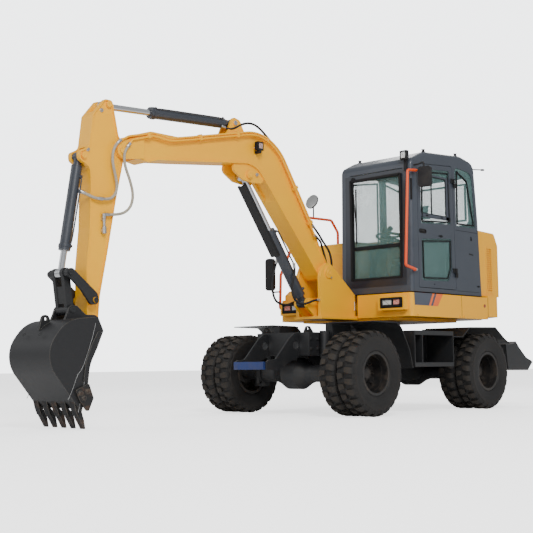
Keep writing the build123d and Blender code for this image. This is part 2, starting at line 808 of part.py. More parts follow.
def facing_pane(y, z, radius, x, inset):
    """A rounded slab that faces forwards, made smaller by inset all round."""
    size = (y[1] - y[0] - 2 * inset, z[1] - z[0] - 2 * inset)
    middle = Pos(x[0], (y[0] + y[1]) / 2, (z[0] + z[1]) / 2)
    face = Plane.YZ * RectangleRounded(*size, radius - inset)
    return middle * extrude(face, amount=x[1] - x[0])


windshield_y = (cab_right_y + 95, cab_left_y - 75)
windshield_z = (1395, 2660)
windshield_bar_z = (1806, 1834)
rear_window_y = (cab_right_y + 100, cab_left_y - 100)
rear_window_z = (2150, 2700)
cab = cab - facing_pane(windshield_y, windshield_z, 70, (100, 260), 0)
cab = cab - facing_pane(rear_window_y, rear_window_z, 60, (-1250, -1000), 0)
bar_y = (windshield_y[0] - 5, windshield_y[1] + 5)
cab = cab + block((154, 172), bar_y, windshield_bar_z)
# Door hinges: on the cab a lower barrel with a pin, on the door an upper barrel round it
hinge_x = door_rear_x - 14
hinge_y = cab_left_y + 16
hinge_radius = 11
hinge_pin_radius = 6
hinge_z = (1540, 2567)
hinge_length = 50
leaf_y = (cab_left_y + side_clearance, cab_left_y + side_clearance + 6)
foot_y = (cab_left_y - 5, leaf_y[1])
for z in hinge_z:
    low = (z - hinge_length, z - 0.5)
    cab = cab + upright(hinge_x, hinge_y, hinge_radius, *low)
    cab = cab + upright(hinge_x, hinge_y, hinge_pin_radius, z - hinge_length, z + hinge_length - 5)
    cab = cab + block((hinge_x - 36, hinge_x), leaf_y, low) + block((hinge_x - 36, hinge_x - 19), foot_y, low)
nodes["cab_frame"] = [cab]

# Glass: panes that stand in their openings with a small gap
windshield = facing_pane(windshield_y, windshield_z, 70, (158, 158 + glass_thickness), seat_gap)
bar_cut = block((100, 260), (-200, 1000), (windshield_bar_z[0] - seat_gap, windshield_bar_z[1] + seat_gap))
rear_pane = facing_pane(rear_window_y, rear_window_z, 60, (-1122, -1122 + glass_thickness), seat_gap)
panes = [windshield - bar_cut, rear_pane]
for rows, y_outer in ((rear_left_window, cab_left_y - 8), (right_front_window, cab_right_y + 14),
                      (right_rear_window, cab_right_y + 14)):
    panes.append(slab(offset(outline(rows), amount=-seat_gap), y_outer - glass_thickness, y_outer))
nodes["cab_glass"] = panes

# Door with an upper and a lower window
door_face = offset(outline(door_rows), amount=-door_gap)
door = slab(door_face, cab_left_y - cab_wall, cab_left_y)
upper_window = [(30, 2050, 25), (20, 2655, 30), (-545, 2700, 30), (-555, 2090, 25)]
lower_window = [(25, 1425, 30), (25, 1880, 25), (-560, 1925, 25), (-560, 1590, 30), (-490, 1440, 30)]
door_panes = []
for rows in (upper_window, lower_window):
    door = door - slab(outline(rows), *left_wall)
    door_panes.append(slab(offset(outline(rows), amount=-seat_gap), cab_left_y - 14, cab_left_y - 8))
for z in hinge_z:
    high = (z + 0.5, z + hinge_length)
    door = door + block((hinge_x, hinge_x + 62), leaf_y, high)
    door = door + block((hinge_x + 26, hinge_x + 62), foot_y, high)
    door = door + upright(hinge_x, hinge_y, hinge_radius, *high)
    door = door - upright(hinge_x, hinge_y, hinge_pin_radius + pin_clearance, *high)
# The handle is a cup in the door with a grip across it
handle_middle = (0, 1966)
cup_half = (70, 24)
cup_depth = 20
cup_wall = 5


def cup_slab(inset, y_low, y_high):
    """The handle's rounded outline, made smaller by inset, from y_low to y_high."""
    width, height = 2 * (cup_half[0] - inset), 2 * (cup_half[1] - inset)
    return slab(Pos(*handle_middle) * RectangleRounded(width, height, height / 2 - 1), y_low, y_high)


cup_back_y = cab_left_y - cup_depth
door = door - cup_slab(0, cup_back_y, cab_left_y + 1)
cup = cup_slab(seat_gap, cup_back_y + seat_gap, cab_left_y + 2)
cup = cup - cup_slab(cup_wall, cup_back_y + cup_wall, cab_left_y + 3)
grip_z = (handle_middle[1] - 2, handle_middle[1] + 17)
grip = block((handle_middle[0] - 38, handle_middle[0] + 60), (cup_back_y + 2, cab_left_y - 2), grip_z)
finger_x = (handle_middle[0] - 30, handle_middle[0] + 52)
finger_z = (handle_middle[1] - cup_half[1], handle_middle[1] + cup_half[1])
finger_room = block(finger_x, (cup_back_y + cup_wall, cab_left_y - 8), finger_z)
nodes["door_handle"] = [cup + grip - finger_room]
nodes["cab_door"] = [door]
nodes["door_glass"] = door_panes

# Seat and controls inside
seat_z = 1740
seat_y = (cab_left_y + cab_right_y) / 2 + 5
seat_half = (cab_left_y - cab_right_y) / 2 - cab_wall - 210
console_width = 110


def seat_block(x, half, z):
    return block(x, (seat_y - half, seat_y + half), z)


seat = fuse([
    seat_block((-700, -250), seat_half, (seat_z - 100, seat_z)),
    seat_block((-760, -650), seat_half - 10, (seat_z, 2200)),
    seat_block((-745, -665), seat_half - 110, (2200, 2380)),
])
nodes["seat"] = [seat]
pedestal = seat_block((-650, -300), seat_half - 50, (cab_floor_z + seat_gap, seat_z - 100 - seat_gap))
console_lows = (seat_y - seat_half - 20 - console_width, seat_y + seat_half + 20)
consoles = [block((-620, -150), (y, y + console_width), (cab_floor_z + seat_gap, 1900)) for y in console_lows]
column = on_line((20, cab_floor_z + 12), (-90, 1950), bar_x(30, 0, 600))
column_foot = block((-15, 55), (-40, 40), (cab_floor_z + seat_gap, cab_floor_z + 45))
wheel_place = Pos(-94, seat_y, 1950) * Rot(0, -10, 0)
steering_wheel = wheel_place * Torus(170, 14) + wheel_place * (Box(340, 36, 12) + Box(36, 340, 12))
steering = Pos(0, seat_y, 0) * (column + column_foot) + steering_wheel
nodes["controls"] = [pedestal, steering] + consoles

# Rails and mirrors
right_rail_y = 30 - upper_half_width
right_rail_points = [
    # x, z
    (skirt_front_x + seat_gap, 1190),
    (302, 1190),
    (285, 1590),
    (113, 1885),
    (-240, 2335),
    (-672, 2344),
    (-800, 2200),
    (-800, 1990),
]
right_rail_bends = [20, 60, 60, 60, 60, 60]
right_rail = bent_tube([(x, right_rail_y, z) for x, z in right_rail_points], right_rail_bends, rail_radius)
cab_rail_points = [
    # x, y, z
    (120, cab_left_y + seat_gap, 2620),
    (120, cab_left_y + 30, 2620),
    (300, cab_left_y + 30, 2600),
    (372, cab_left_y + 30, 1565),
    (180, cab_left_y + 30, 1530),
    (180, cab_left_y + seat_gap, 1530),
]
cab_rail = bent_tube(cab_rail_points, 24, 15)
nodes["hand_rails"] = [right_rail, cab_rail]

# Mirrors: each head is a rounded shell on a bent arm
mirror_depth = 42
left_head = facing_pane((0, 150), (2430, 2650), 30, (0, mirror_depth), 0)
left_turn = 9
left_reach = 150 * math.cos(math.radians(left_turn)) + mirror_depth * math.sin(math.radians(left_turn))
left_head = Pos(104, mirror_reach - left_reach, 0) * Rot(0, 0, left_turn) * left_head
left_arm_y = mirror_reach - 85
left_arm_points = [
    # x, y, z
    (140, cab_left_y + seat_gap, 2680),
    (140, left_arm_y - 55, 2680),
    (118, left_arm_y, 2705),
    (118, left_arm_y, 2630),
]
left_mirror = left_head + bent_tube(left_arm_points, 14, 9)
right_head = facing_pane((-mirror_reach, 130 - mirror_reach), (1410, 1795), 40, (296, 296 + mirror_depth), 0)
right_arm_points = [
    # x, y, z
    (294, 70 - mirror_reach, 1450),
    (294, 70 - mirror_reach, 1390),
    (294, right_rail_y - rail_radius - seat_gap, 1390),
]
right_mirror = right_head + bent_tube(right_arm_points, 14, 9)
round_middle = Pos(-305, right_rail_y, 2542)
round_mirror = round_middle * Rot(0, 70, 34) * (Cylinder(94, 16) + Pos(0, 0, -18) * Cylinder(60, 24))
round_stalk = upright(-330, right_rail_y, 9, 2354.2, 2510)
nodes["mirrors"] = [left_mirror, right_mirror, round_mirror + round_stalk]

# Work lamps
cab_lamp_x = (200, 246)
cab_lamp_z = (2735, 2835)
lamp_foot_x = (192.2, 208)
lamp_foot_z = (2615, 2750)
cab_lamp = block(cab_lamp_x, (cab_left_y - 110, cab_left_y - 22), cab_lamp_z)
cab_lamp = cab_lamp + block(lamp_foot_x, (cab_left_y - 85, cab_left_y - 47), lamp_foot_z)
nodes["work_lamps"] = [cab_lamp]

# Boom
boom_rows = [
    # x, z, corner radius
    (boom_foot[0] + 52, boom_foot[1] - 62, 70),
    (boom_foot[0] - 80, boom_foot[1] - 20, 70),
    (boom_foot[0] - 65, boom_foot[1] + 115, 60),
    (1543, 2973, 550),
    (2795, 2697, 300),
    (3165, 2697, 150),
    (3435, 2610, 60),
    (boom_nose[0] + 60, boom_nose[1] + 20, 60),
    (boom_nose[0] + 10, boom_nose[1] - 75, 60),
    (3285, 2418, 60),
    (3190, 2403, 60),
    (3070, 2440, 100),
    (2800, 2468, 400),
    (1765, 2588, 300),
]
boom_face = outline(boom_rows)
web_half = boom_half_width - flange_reach
boom = slab(boom_face, -web_half, web_half)
boom = boom + slab(boom_face - offset(boom_face, amount=-14), -boom_half_width, boom_half_width)
tail_half = ear_half_gap - side_clearance
boom = boom + across(boom_foot, 75, -tail_half, tail_half)
lower_rows = [
    # x, z, corner radius
    (1560, 2400, 60),
    (boom_cylinder_top[0] - 60, boom_cylinder_top[1] - 75, 60),
    (boom_cylinder_top[0] + 75, boom_cylinder_top[1] - 60, 60),
    (2150, 2530, 60),
    (1800, 2660),
]
lower_inner = boom_row["half"] + side_clearance + 1
lower_lug_y = (lower_inner, lower_inner + lug_thickness)
boom = boom + pair(slab(outline(lower_rows), *lower_lug_y))
# The open pivot: the rod's eye drifts from its pin, so the boom is cut clear of the eye's whole path
pocket_rows = [
    # x, z, corner radius
    (1440, 2200),
    (1480, 2297, 40),
    (1580, 2412, 60),
    (1670, 2560, 30),
    (1745, 2650, 60),
    (1830, 2660, 60),
    (1930, 2540, 60),
    (2010, 2300),
]
boom = boom - slab(outline(pocket_rows), -lower_inner, lower_inner)
boss_y = (lower_lug_y[1], boom_half_width + 8)
boom = boom + pair(across(boom_cylinder_top, 40, *boss_y))
upper_rows = [
    # x, z, corner radius
    (1870, 2860),
    (arm_cylinder_foot[0] - 70, arm_cylinder_foot[1] + 40, 50),
    (arm_cylinder_foot[0] + 30, arm_cylinder_foot[1] + 65, 50),
    (2150, 2830),
]
upper_inner = cylinders["arm"]["half"] + side_clearance + 1
upper_lug = slab(outline(upper_rows), upper_inner, upper_inner + lug_thickness)
upper_pin = across(arm_cylinder_foot, cylinders["arm"]["pin"], 0, upper_inner + lug_thickness + 10)
boom = boom + pair(upper_lug + upper_pin)
fork_slot_rows = [(3330, 2300), (3700, 2300), (3700, 2800), (3230, 2800), (3230, 2690), (3330, 2590)]
boom = boom - slab(outline(fork_slot_rows), -fork_inner, fork_inner)
fork_rows = [
    # x, z, corner radius
    (3250, 2425),
    (boom_nose[0], boom_nose[1] - 78, 60),
    (boom_nose[0] + 78, boom_nose[1], 70),
    (boom_nose[0], boom_nose[1] + 90, 60),
    (3250, 2650),
]
fork = slab(outline(fork_rows), fork_inner, fork_inner + lug_thickness)
nose_pin = across(boom_nose, nose_pin_radius, 0, fork_inner + lug_thickness + 8)
boom = boom + pair(fork + nose_pin)
boom = boom - across(boom_foot, boom_pin_radius + pin_clearance, -tail_half, tail_half)
nodes["boom"] = [boom]

# Boom pipes: two steel pipes along the boom's left edge, held by clamps on its rim
pipe_radius = 10
pipe_y = fork_inner + lug_thickness + 4 + pipe_radius
pipe_rows = [
    # x, z, bend radius
    [(3538, 2550), (3440, 2604, 40), (3150, 2680, 60), (2940, 2662, 60), (2800, 2690, 60), (1545, 2968, 546),
     (918, 2024)],
    [(3434, 2532), (3402, 2577, 30), (3150, 2652, 60), (2940, 2635, 60), (2800, 2663, 60), (1557, 2939, 520),
     (878, 1915)],
]
clamp_rows = [
    # x, z between the pipes, slope in degrees
    (3212, 2649, -15.5),
    (2560, 2731, -12.4),
    (2050, 2844, -12.4),
    (1183, 2400, 56.4),
    (951, 2050, 56.4),
]
pipes = []
for rows in pipe_rows:
    points = [(row[0], pipe_y, row[1]) for row in rows]
    bends = [row[2] for row in rows[1:-1]]
    pipes.append(bent_tube(points, bends, pipe_radius))
clamp_y = (boom_half_width + seat_gap, pipe_y + pipe_radius + 5)
clamp = block((-16, 16), clamp_y, (-29, 29))
clamps = [Pos(x, 0, z) * Rot(0, -slope, 0) * clamp for x, z, slope in clamp_rows]
nodes["boom_pipes"] = [fuse(pipes + clamps)]

lamp_y = (boom_half_width + 20, boom_half_width + 64)
boom_lamp_x = (1710, 1795)
boom_lamp_z = (2722, 2808)
boom_lamp = block(boom_lamp_x, lamp_y, boom_lamp_z)
bracket_x = (1742, 1764)
bracket_z = (2690, boom_lamp_z[0])
bracket = block(bracket_x, (web_half + seat_gap, lamp_y[1]), bracket_z)
nodes["boom_lamp"] = [boom_lamp + bracket]

# Arm
arm_rows = [
    # x, z, corner radius
    (3586, 2871, 30),
    (3600, 2912, 30),
    (3680, 2912, 30),
    (3812, 2753, 30),
    (3851, 2451, 60),
    (3954, 2400, 40),
    (3950, 2330, 40),
    (3838, 2270, 60),
    (3828, 2130, 200),
    (3836, 1730, 300),
    (3868, 1376, 300),
    (3856, bucket_pin[1] - 40, 40),
    (bucket_pin[0] + 20, bucket_pin[1] - 62, 40),
    (bucket_pin[0] - 50, bucket_pin[1] - 55, 50),
    (3722, 1138, 200),
    (3641, 1533, 300),
    (3550, 2012, 300),
    (3472, 2364, 60),
    (3440, 2464, 50),
    (3525, 2603, 60),
]
arm_face = outline(arm_rows)
arm_web = arm_half_width - 10
arm = slab(arm_face, -arm_web, arm_web)
arm = arm + slab(arm_face - offset(arm_face, amount=-12), -arm_half_width, arm_half_width)
arm = arm + across(boom_nose, 62, -arm_half_width, arm_half_width)
arm = arm + across(bucket_pin, 50, -arm_half_width, arm_half_width)
rod_slot_rows = [(3500, 2760), (3560, 2990), (3830, 2990), (3830, 2790), (3620, 2780)]
arm = arm - slab(outline(rod_slot_rows), -upper_inner, upper_inner)
arm = arm + pair(across(arm_cylinder_rod, 30, upper_inner, arm_half_width + 8))
foot_slot_half = cylinders["bucket"]["half"] + side_clearance + 1
foot_slot_rows = [(3850, 2450), (4000, 2480), (4000, 2240), (3850, 2270)]
arm = arm - slab(outline(foot_slot_rows), -foot_slot_half, foot_slot_half)
arm = arm + across(bucket_cylinder_foot, cylinders["bucket"]["pin"], -arm_half_width - 8, arm_half_width + 8)

# The levers run outside the bucket's ears, so that the two pass each other
bucket_ear_thickness = 22
lever_inner = fork_inner + bucket_ear_thickness + 9
lever_y = (lever_inner, lever_inner + 24)
arm = arm + across(lever_pin, tool_pin_radius, -lever_y[1] - 10, lever_y[1] + 10)
arm = arm + across(lever_pin, 44, -lever_inner + 1, lever_inner - 1)
for pin, radius in ((boom_nose, nose_pin_radius), (bucket_pin, tool_pin_radius)):
    arm = arm - across(pin, radius + pin_clearance, -arm_half_width, arm_half_width)
nodes["arm"] = [arm]

# Levers and link that turn the bucket
tip = bucket_cylinder_rod
lever_rows = [
    # x, z, corner radius
    (lever_pin[0] - 45, lever_pin[1] - 30, 40),
    (lever_pin[0] - 20, lever_pin[1] + 60, 40),
    (3960, 1290, 120),
    (tip[0] - 10, tip[1] + 50, 40),
    (tip[0] + 58, tip[1], 28),
    (tip[0] - 16, tip[1] - 60, 40),
    (3960, 1180, 120),
    (lever_pin[0] + 45, lever_pin[1] - 45, 40),
]
link_inner = 44
link_outer = 84
lever_pin_radius = 22
lever = slab(outline(lever_rows), *lever_y)
lever = lever - across(lever_pin, tool_pin_radius + pin_clearance, *lever_y)
lever = lever + across(tip, 38, link_outer + 2, lever_y[0] + 6)
lever = lever + across(tip, lever_pin_radius, link_inner, lever_y[1] + 8)
nodes["bucket_levers"] = both_sides(lever)

link_length = length_of(tip, link_pin)
link_side = block((0, link_length), (link_inner, link_outer), (-34, 34))
link_side = link_side + Pos(0, (link_inner + link_outer) / 2, 0) * Rot(90, 0, 0) * Cylinder(46, 40)
link_side = link_side - Rot(90, 0, 0) * Cylinder(lever_pin_radius + pin_clearance, 4 * link_outer)
link_cross = block((110, link_length - 60), (-link_inner, link_inner), (-28, 28))
link_eye = Pos(link_length, 0, 0) * Rot(90, 0, 0) * Cylinder(40, 2 * link_outer)
nodes["bucket_link"] = [on_line(tip, link_pin, pair(link_side) + link_cross + link_eye)]

# Bucket, measured from its pin
bucket_rows = [
    # x, z, corner radius
    (107, 30, 10),
    (430, -4, 300),
    (660, -300, 250),
    (270, -770),
    (205, -522, 60),
    (186, -372, 60),
    (111, -230, 60),
    (49, -88, 20),
]
mouth_rows = [
    # x, z
    (60, -70),
    (140, -200),
    (215, -340),
    (235, -520),
    (300, -745),
    (255, -800),
    (0, -700),
    (-80, -70),
]
ear_rows = [
    # x, z, corner radius
    (-52, 10, 40),
    (-34, -52, 40),
    (60, -60),
    (330, -30),
    (290, 60),
    (262, 136, 45),
    (190, 130, 45),
    (100, 55, 60),
    (-10, 56, 40),
]
bucket_face = outline(from_pin(bucket_rows, bucket_pin))
bucket_inner_y = bucket_half_width - bucket_plate
bucket = slab(bucket_face, -bucket_half_width, bucket_half_width)
bucket = bucket - slab(offset(bucket_face, amount=-bucket_plate), -bucket_inner_y, bucket_inner_y)
bucket = bucket - slab(outline(from_pin(mouth_rows, bucket_pin)), -bucket_inner_y, bucket_inner_y)
bucket_ear = slab(outline(from_pin(ear_rows, bucket_pin)), fork_inner, fork_inner + bucket_ear_thickness)
bucket_boss = across(bucket_pin, tool_pin_radius, 0, fork_inner + bucket_ear_thickness + 3)
bucket = bucket + pair(bucket_ear + bucket_boss)
lug_rows = [(390, -40), (400, 60, 40), (470, 40, 40), (500, -80)]
lug_hole = (bucket_pin[0] + 432, bucket_pin[1] + 14)
lifting_lug = slab(outline(from_pin(lug_rows, bucket_pin)), -12, 12) - across(lug_hole, 15, -12, 12)
bucket = bucket + lifting_lug
nodes["bucket"] = [bucket]

# Teeth and side cutters, set against the bucket's lip and sides
tooth_rows = [
    # x, z, corner radius
    (300, -700),
    (330, -720, 12),
    (296, -806, 8),
    (262, -860),
    (234, -906),
    (226, -900),
    (240, -830),
    (262, -765),
]
cutter_rows = [
    # x, z, corner radius
    (212, -528, 15),
    (163, -652, 20),
    (217, -768, 15),
    (306, -668, 20),
    (346, -582, 15),
]
tooth_count = 5
tooth_pitch = 131.5
tooth_half = 30
clear_of_lip = offset(bucket_face, amount=seat_gap)
tooth_face = outline(from_pin(tooth_rows, bucket_pin)) - clear_of_lip
teeth = []
for i in range(tooth_count):
    y = (i - (tooth_count - 1) / 2) * tooth_pitch
    teeth.append(slab(tooth_face, y - tooth_half, y + tooth_half))
cutter_face = outline(from_pin(cutter_rows, bucket_pin))
cutter = slab(cutter_face, bucket_half_width + seat_gap, bucket_half_width + 22)
nodes["bucket_teeth"] = teeth + both_sides(cutter)

# The origin goes under the middle of the machine's box
boxes = [solid.bounding_box() for solids in nodes.values() for solid in solids]
x_low = min(box.min.X for box in boxes)
x_high = max(box.max.X for box in boxes)
middle_x = (x_low + x_high) / 2

os.makedirs("parts", exist_ok=True)
for name, shapes in nodes.items():
    solids = [Pos(-middle_x, 0, 0) * solid for shape in shapes for solid in shape.solids()]
    piece = solids[0] if len(solids) == 1 else Compound(children=solids)
    export_step(piece, f"parts/{name}.step")
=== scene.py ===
"""The looks of a small wheeled excavator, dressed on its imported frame."""

import math

import bmesh
import bpy
from mathutils import Matrix, Vector


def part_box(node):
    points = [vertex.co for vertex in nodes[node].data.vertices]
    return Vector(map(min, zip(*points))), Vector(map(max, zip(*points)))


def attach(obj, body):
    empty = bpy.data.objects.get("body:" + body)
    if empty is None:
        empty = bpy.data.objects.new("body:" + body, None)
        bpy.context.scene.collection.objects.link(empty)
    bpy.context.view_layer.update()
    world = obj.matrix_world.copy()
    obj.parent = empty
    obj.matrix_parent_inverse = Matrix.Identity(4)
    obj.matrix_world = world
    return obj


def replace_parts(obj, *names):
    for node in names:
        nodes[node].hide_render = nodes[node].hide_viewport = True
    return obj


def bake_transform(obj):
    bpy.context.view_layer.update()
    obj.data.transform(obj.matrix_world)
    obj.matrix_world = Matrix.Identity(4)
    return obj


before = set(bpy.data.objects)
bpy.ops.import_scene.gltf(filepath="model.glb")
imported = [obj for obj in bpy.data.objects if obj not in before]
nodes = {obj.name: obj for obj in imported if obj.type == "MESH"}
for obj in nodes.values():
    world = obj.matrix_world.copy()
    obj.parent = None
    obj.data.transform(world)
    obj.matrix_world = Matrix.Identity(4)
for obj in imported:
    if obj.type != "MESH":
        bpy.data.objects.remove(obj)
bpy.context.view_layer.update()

# Sizes are in millimetres from the middle between the axles, as the maker's drawing has them
MM = 0.001
LEFT, RIGHT = (0, 1, 0), (0, -1, 0)
FRONT, BACK = (1, 0, 0), (-1, 0, 0)
UP = (0, 0, 1)


def middle_of(name):
    low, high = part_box(name)
    return (low + high) / 2


front_axle_x = middle_of("rim_front_left").x
rear_axle_x = middle_of("rim_rear_left").x
origin_x = (front_axle_x + rear_axle_x) / 2


def spot(x, y, z):
    """A point of the machine, from millimetres to the frame's metres."""
    return Vector((x * MM + origin_x, y * MM, z * MM))


# Pins and faces of the machine, as its CAD has them
BOOM_FOOT = (720, 1520)
BOOM_NOSE = (3503, 2464)
BOOM_CYLINDER = ((938, 1188), (1852, 2461))
ARM_CYLINDER = ((2028, 2972), (3635, 2869))
BUCKET_CYLINDER = ((3904, 2366), (4076, 1324))
BLADE_CYLINDER = ((-1370, 780), (-1740, 600))
LEVER_PIN = (3813, 1100)
LINK_PIN = (4029, 1008)
BUCKET_PIN = (3794, 917)
TYRE_RADIUS = 430
MIRROR_LEFT_Y = 975.3
LEFT_MIRROR_TURN = 9
TWIN_Y = (750, 975)
AXLE_Z = 430
CAB_LEFT = 930
CAB_RIGHT = -60
SKIRT_Y = 955


# Camera, solved from the eight tyres
def set_camera():
    yaw, pitch, roll = 3.900, 0.0963, -0.0093
    lens_mm, sensor_mm = 68.09, 36
    eye = (9113.6, 7206.4, 535.9)
    ahead = Vector((math.cos(yaw) * math.cos(pitch), math.sin(yaw) * math.cos(pitch), math.sin(pitch)))
    level_right = Vector((math.sin(yaw), -math.cos(yaw), 0))
    level_up = level_right.cross(ahead)
    right = level_right * math.cos(roll) + level_up * math.sin(roll)
    up = level_up * math.cos(roll) - level_right * math.sin(roll)
    camera = bpy.data.objects.new("camera", bpy.data.cameras.new("camera"))
    camera.data.lens = lens_mm
    camera.data.sensor_width = sensor_mm
    camera.data.clip_end = 200
    axes = Matrix((right, up, -ahead)).transposed().to_4x4()
    camera.matrix_world = Matrix.Translation(spot(*eye)) @ axes
    bpy.context.scene.collection.objects.link(camera)
    bpy.context.scene.camera = camera


# Shader sums
class Sock:
    """A shader socket that takes part in Python sums."""

    def __init__(self, finish, socket):
        self.finish = finish
        self.socket = socket

    def __add__(self, other):
        return self.finish.maths("ADD", self, other)

    def __sub__(self, other):
        return self.finish.maths("SUBTRACT", self, other)

    def __rsub__(self, other):
        return self.finish.maths("SUBTRACT", other, self)

    def __mul__(self, other):
        return self.finish.maths("MULTIPLY", self, other)

    __radd__ = __add__
    __rmul__ = __mul__


class Finish:
    """One finish of the machine: a material and the nodes that vary it."""

    def __init__(self, name, **constants):
        self.material = bpy.data.materials.new(name)
        self.material.use_nodes = True
        self.tree = self.material.node_tree
        self.shader = self.tree.nodes["Principled BSDF"]
        for socket, value in constants.items():
            self.shader.inputs[socket.replace("_", " ")].default_value = value
        self.place = self.node("ShaderNodeTexCoord", out="Object")

    def node(self, kind, settings=(), inputs=(), out=0):
        """Adds a node: its settings first, then the values or links of its sockets."""
        new = self.tree.nodes.new(kind)
        for name, value in dict(settings).items():
            setattr(new, name, value)
        for key, value in dict(inputs).items():
            self.feed(new.inputs[key], value)
        return Sock(self, new.outputs[out])

    def feed(self, socket, value):
        if isinstance(value, Sock):
            self.tree.links.new(value.socket, socket)
        else:
            socket.default_value = value

    def vary(self, **sockets):
        for name, value in sockets.items():
            self.feed(self.shader.inputs[name.replace("_", " ")], value)

    def maths(self, operation, *values):
        return self.node("ShaderNodeMath", {"operation": operation}, dict(enumerate(values)))

    def noise(self, scale, detail=3, rough=0.55, stretch=(1, 1, 1), seed=0):
        shift = {"Vector": self.place, "Scale": stretch, "Location": (seed, 0, 0)}
        inputs = {"Vector": self.node("ShaderNodeMapping", (), shift)}
        inputs.update({"Scale": scale, "Detail": detail, "Roughness": rough})
        return self.node("ShaderNodeTexNoise", (), inputs)

    def waves(self, direction, scale):
        inputs = {"Vector": self.place, "Scale": scale}
        return self.node("ShaderNodeTexWave", {"bands_direction": direction}, inputs)

    def spread(self, value, low, high, to_low=0.0, to_high=1.0):
        """Stretches a value from low..high to to_low..to_high, clamped at both ends."""
        inputs = {0: value, 1: low, 2: high, 3: to_low, 4: to_high}
        return self.node("ShaderNodeMapRange", {"interpolation_type": "SMOOTHSTEP"}, inputs)

    def mix(self, factor, first, second):
        """A colour between two; a plain one is red, green and blue as a picture shows them."""
        ends = [end if isinstance(end, Sock) else rgb(*end) for end in (first, second)]
        return self.node("ShaderNodeMix", {"data_type": "RGBA"}, {0: factor, 6: ends[0], 7: ends[1]}, out=2)

    def axis(self, name):
        return self.node("ShaderNodeSeparateXYZ", (), {0: self.place}, out="XYZ".index(name))

    def painted_on(self, name):
        """The value that a mesh carries under this name."""
        return self.node("ShaderNodeAttribute", {"attribute_name": name}, out="Fac")

    def edges(self, radius):
        """0 on flat faces and towards 1 along sharp edges."""
        inputs = {0: self.softened(radius), 1: self.node("ShaderNodeNewGeometry", out="Normal")}
        straight = self.node("ShaderNodeVectorMath", {"operation": "DOT_PRODUCT"}, inputs, out="Value")
        return self.spread(straight, 0.999, 0.93)

    def softened(self, radius):
        """The surface's direction with its edges rounded over."""
        return self.node("ShaderNodeBevel", {"samples": 4}, {"Radius": radius})

    def bump(self, height, depth, strength=1.0, softened=0.0):
        inputs = {"Height": height, "Distance": depth, "Strength": strength}
        if softened:
            inputs["Normal"] = self.softened(softened)
        self.vary(Normal=self.node("ShaderNodeBump", (), inputs))
        return self.material


def rgb(red, green, blue):
    """A colour as a picture shows it, 0 to 255, made linear."""
    parts = [part / 255 for part in (red, green, blue)]
    return tuple(p / 12.92 if p < 0.04045 else ((p + 0.055) / 1.055) ** 2.4 for p in parts) + (1,)


def painted(name, main, faded, dust, rough=0.38, coat=0.3, dust_amount=0.35):
    """Sprayed paint: faint colour drift, dust that gathers low down, worn edges and orange peel."""
    finish = Finish(name, Coat_Weight=coat, Coat_Roughness=0.12)
    drift = finish.noise(1.7, 4, seed=3)
    grime = finish.noise(9, 5, 0.65, seed=11)
    dust_top, dust_foot, orange_peel = 0.9, 0.2, 0.0006
    low = finish.spread(finish.axis("Z"), dust_top, dust_foot)
    colour = finish.mix(finish.spread(drift, 0.35, 0.75), main, faded)
    dusty = finish.spread(grime, 0.4, 0.75) * (low * dust_amount + 0.04)
    colour = finish.mix(dusty, colour, dust)
    worn = finish.edges(0.006) * finish.spread(grime, 0.45, 0.7)
    colour = finish.mix(worn * 0.35, colour, dust)
    finish.vary(Base_Color=colour, Roughness=dusty * 0.5 + worn * 0.2 + rough)
    return finish.bump(finish.noise(260, 2), orange_peel, 0.25, softened=0.003)


def rubber(name, colour, dust, dust_amount):
    """Matt rubber or moulding with blotches of dust."""
    finish = Finish(name, Specular_IOR_Level=0.35)
    blotch = finish.noise(6, 5, 0.6)
    fine = finish.noise(70, 4, 0.7)
    dusty = finish.spread(blotch, 0.35, 0.75) * dust_amount
    finish.vary(Base_Color=finish.mix(dusty, colour, dust), Roughness=fine * 0.25 + 0.62)
    return finish.bump(fine, 0.0008, 0.6)


def tyre_rubber():
    """Rubber with dirt and a painted highlight on the lugs' tops, and faint dust on the sidewalls."""
    finish = Finish("tyre_rubber", Specular_IOR_Level=0.35)
    # The value on each vertex lightens the lugs' tops towards a brown: part dirt, part painted highlight.
    soil_and_highlight = finish.painted_on("soil_and_highlight")
    patches = finish.noise(30, 5, 0.7, seed=2)
    fine = finish.noise(160, 4, 0.7)
    clean = finish.mix(finish.spread(finish.noise(3, 3), 0.3, 0.7), (24, 24, 25), (34, 33, 33))
    cover = soil_and_highlight * finish.spread(patches, 0.25, 0.6, 0.45, 1.0)
    soil_and_highlight_colour = finish.mix(fine, (58, 51, 44), (86, 76, 65))
    finish.vary(Base_Color=finish.mix(cover * 0.5, clean, soil_and_highlight_colour), Roughness=cover * 0.25 + 0.6)
    return finish.bump(fine * 0.4 + patches * cover, 0.002, 0.6, softened=0.003)


def steel(name, colour, rough, streaks=(1, 1, 1)):
    """Bare or plated steel, faintly brushed along its streaks."""
    finish = Finish(name, Metallic=1.0)
    brushed = finish.noise(40, 4, 0.6, streaks)
    finish.vary(Base_Color=finish.mix(brushed, colour, (200, 200, 200)), Roughness=brushed * 0.15 + rough)
    return finish.bump(brushed, 0.0002, 0.3, softened=0.002)


def rusty_steel():
    """Cast tooth steel, brown at its root and bright at its working edges."""
    finish = Finish("tooth_rust", Specular_IOR_Level=0.4)
    grain = finish.noise(60, 5, 0.7)
    patches = finish.noise(11, 4, 0.6, seed=4)
    worn = finish.edges(0.006)
    colour = finish.mix(finish.spread(patches, 0.5, 0.72), (32, 32, 33), (74, 56, 44))
    colour = finish.mix(worn * 0.5, colour, (150, 140, 128))
    finish.vary(Base_Color=colour, Roughness=0.7 - worn * 0.25, Metallic=worn * 0.5)
    return finish.bump(grain, 0.0016, 0.7, softened=0.004)


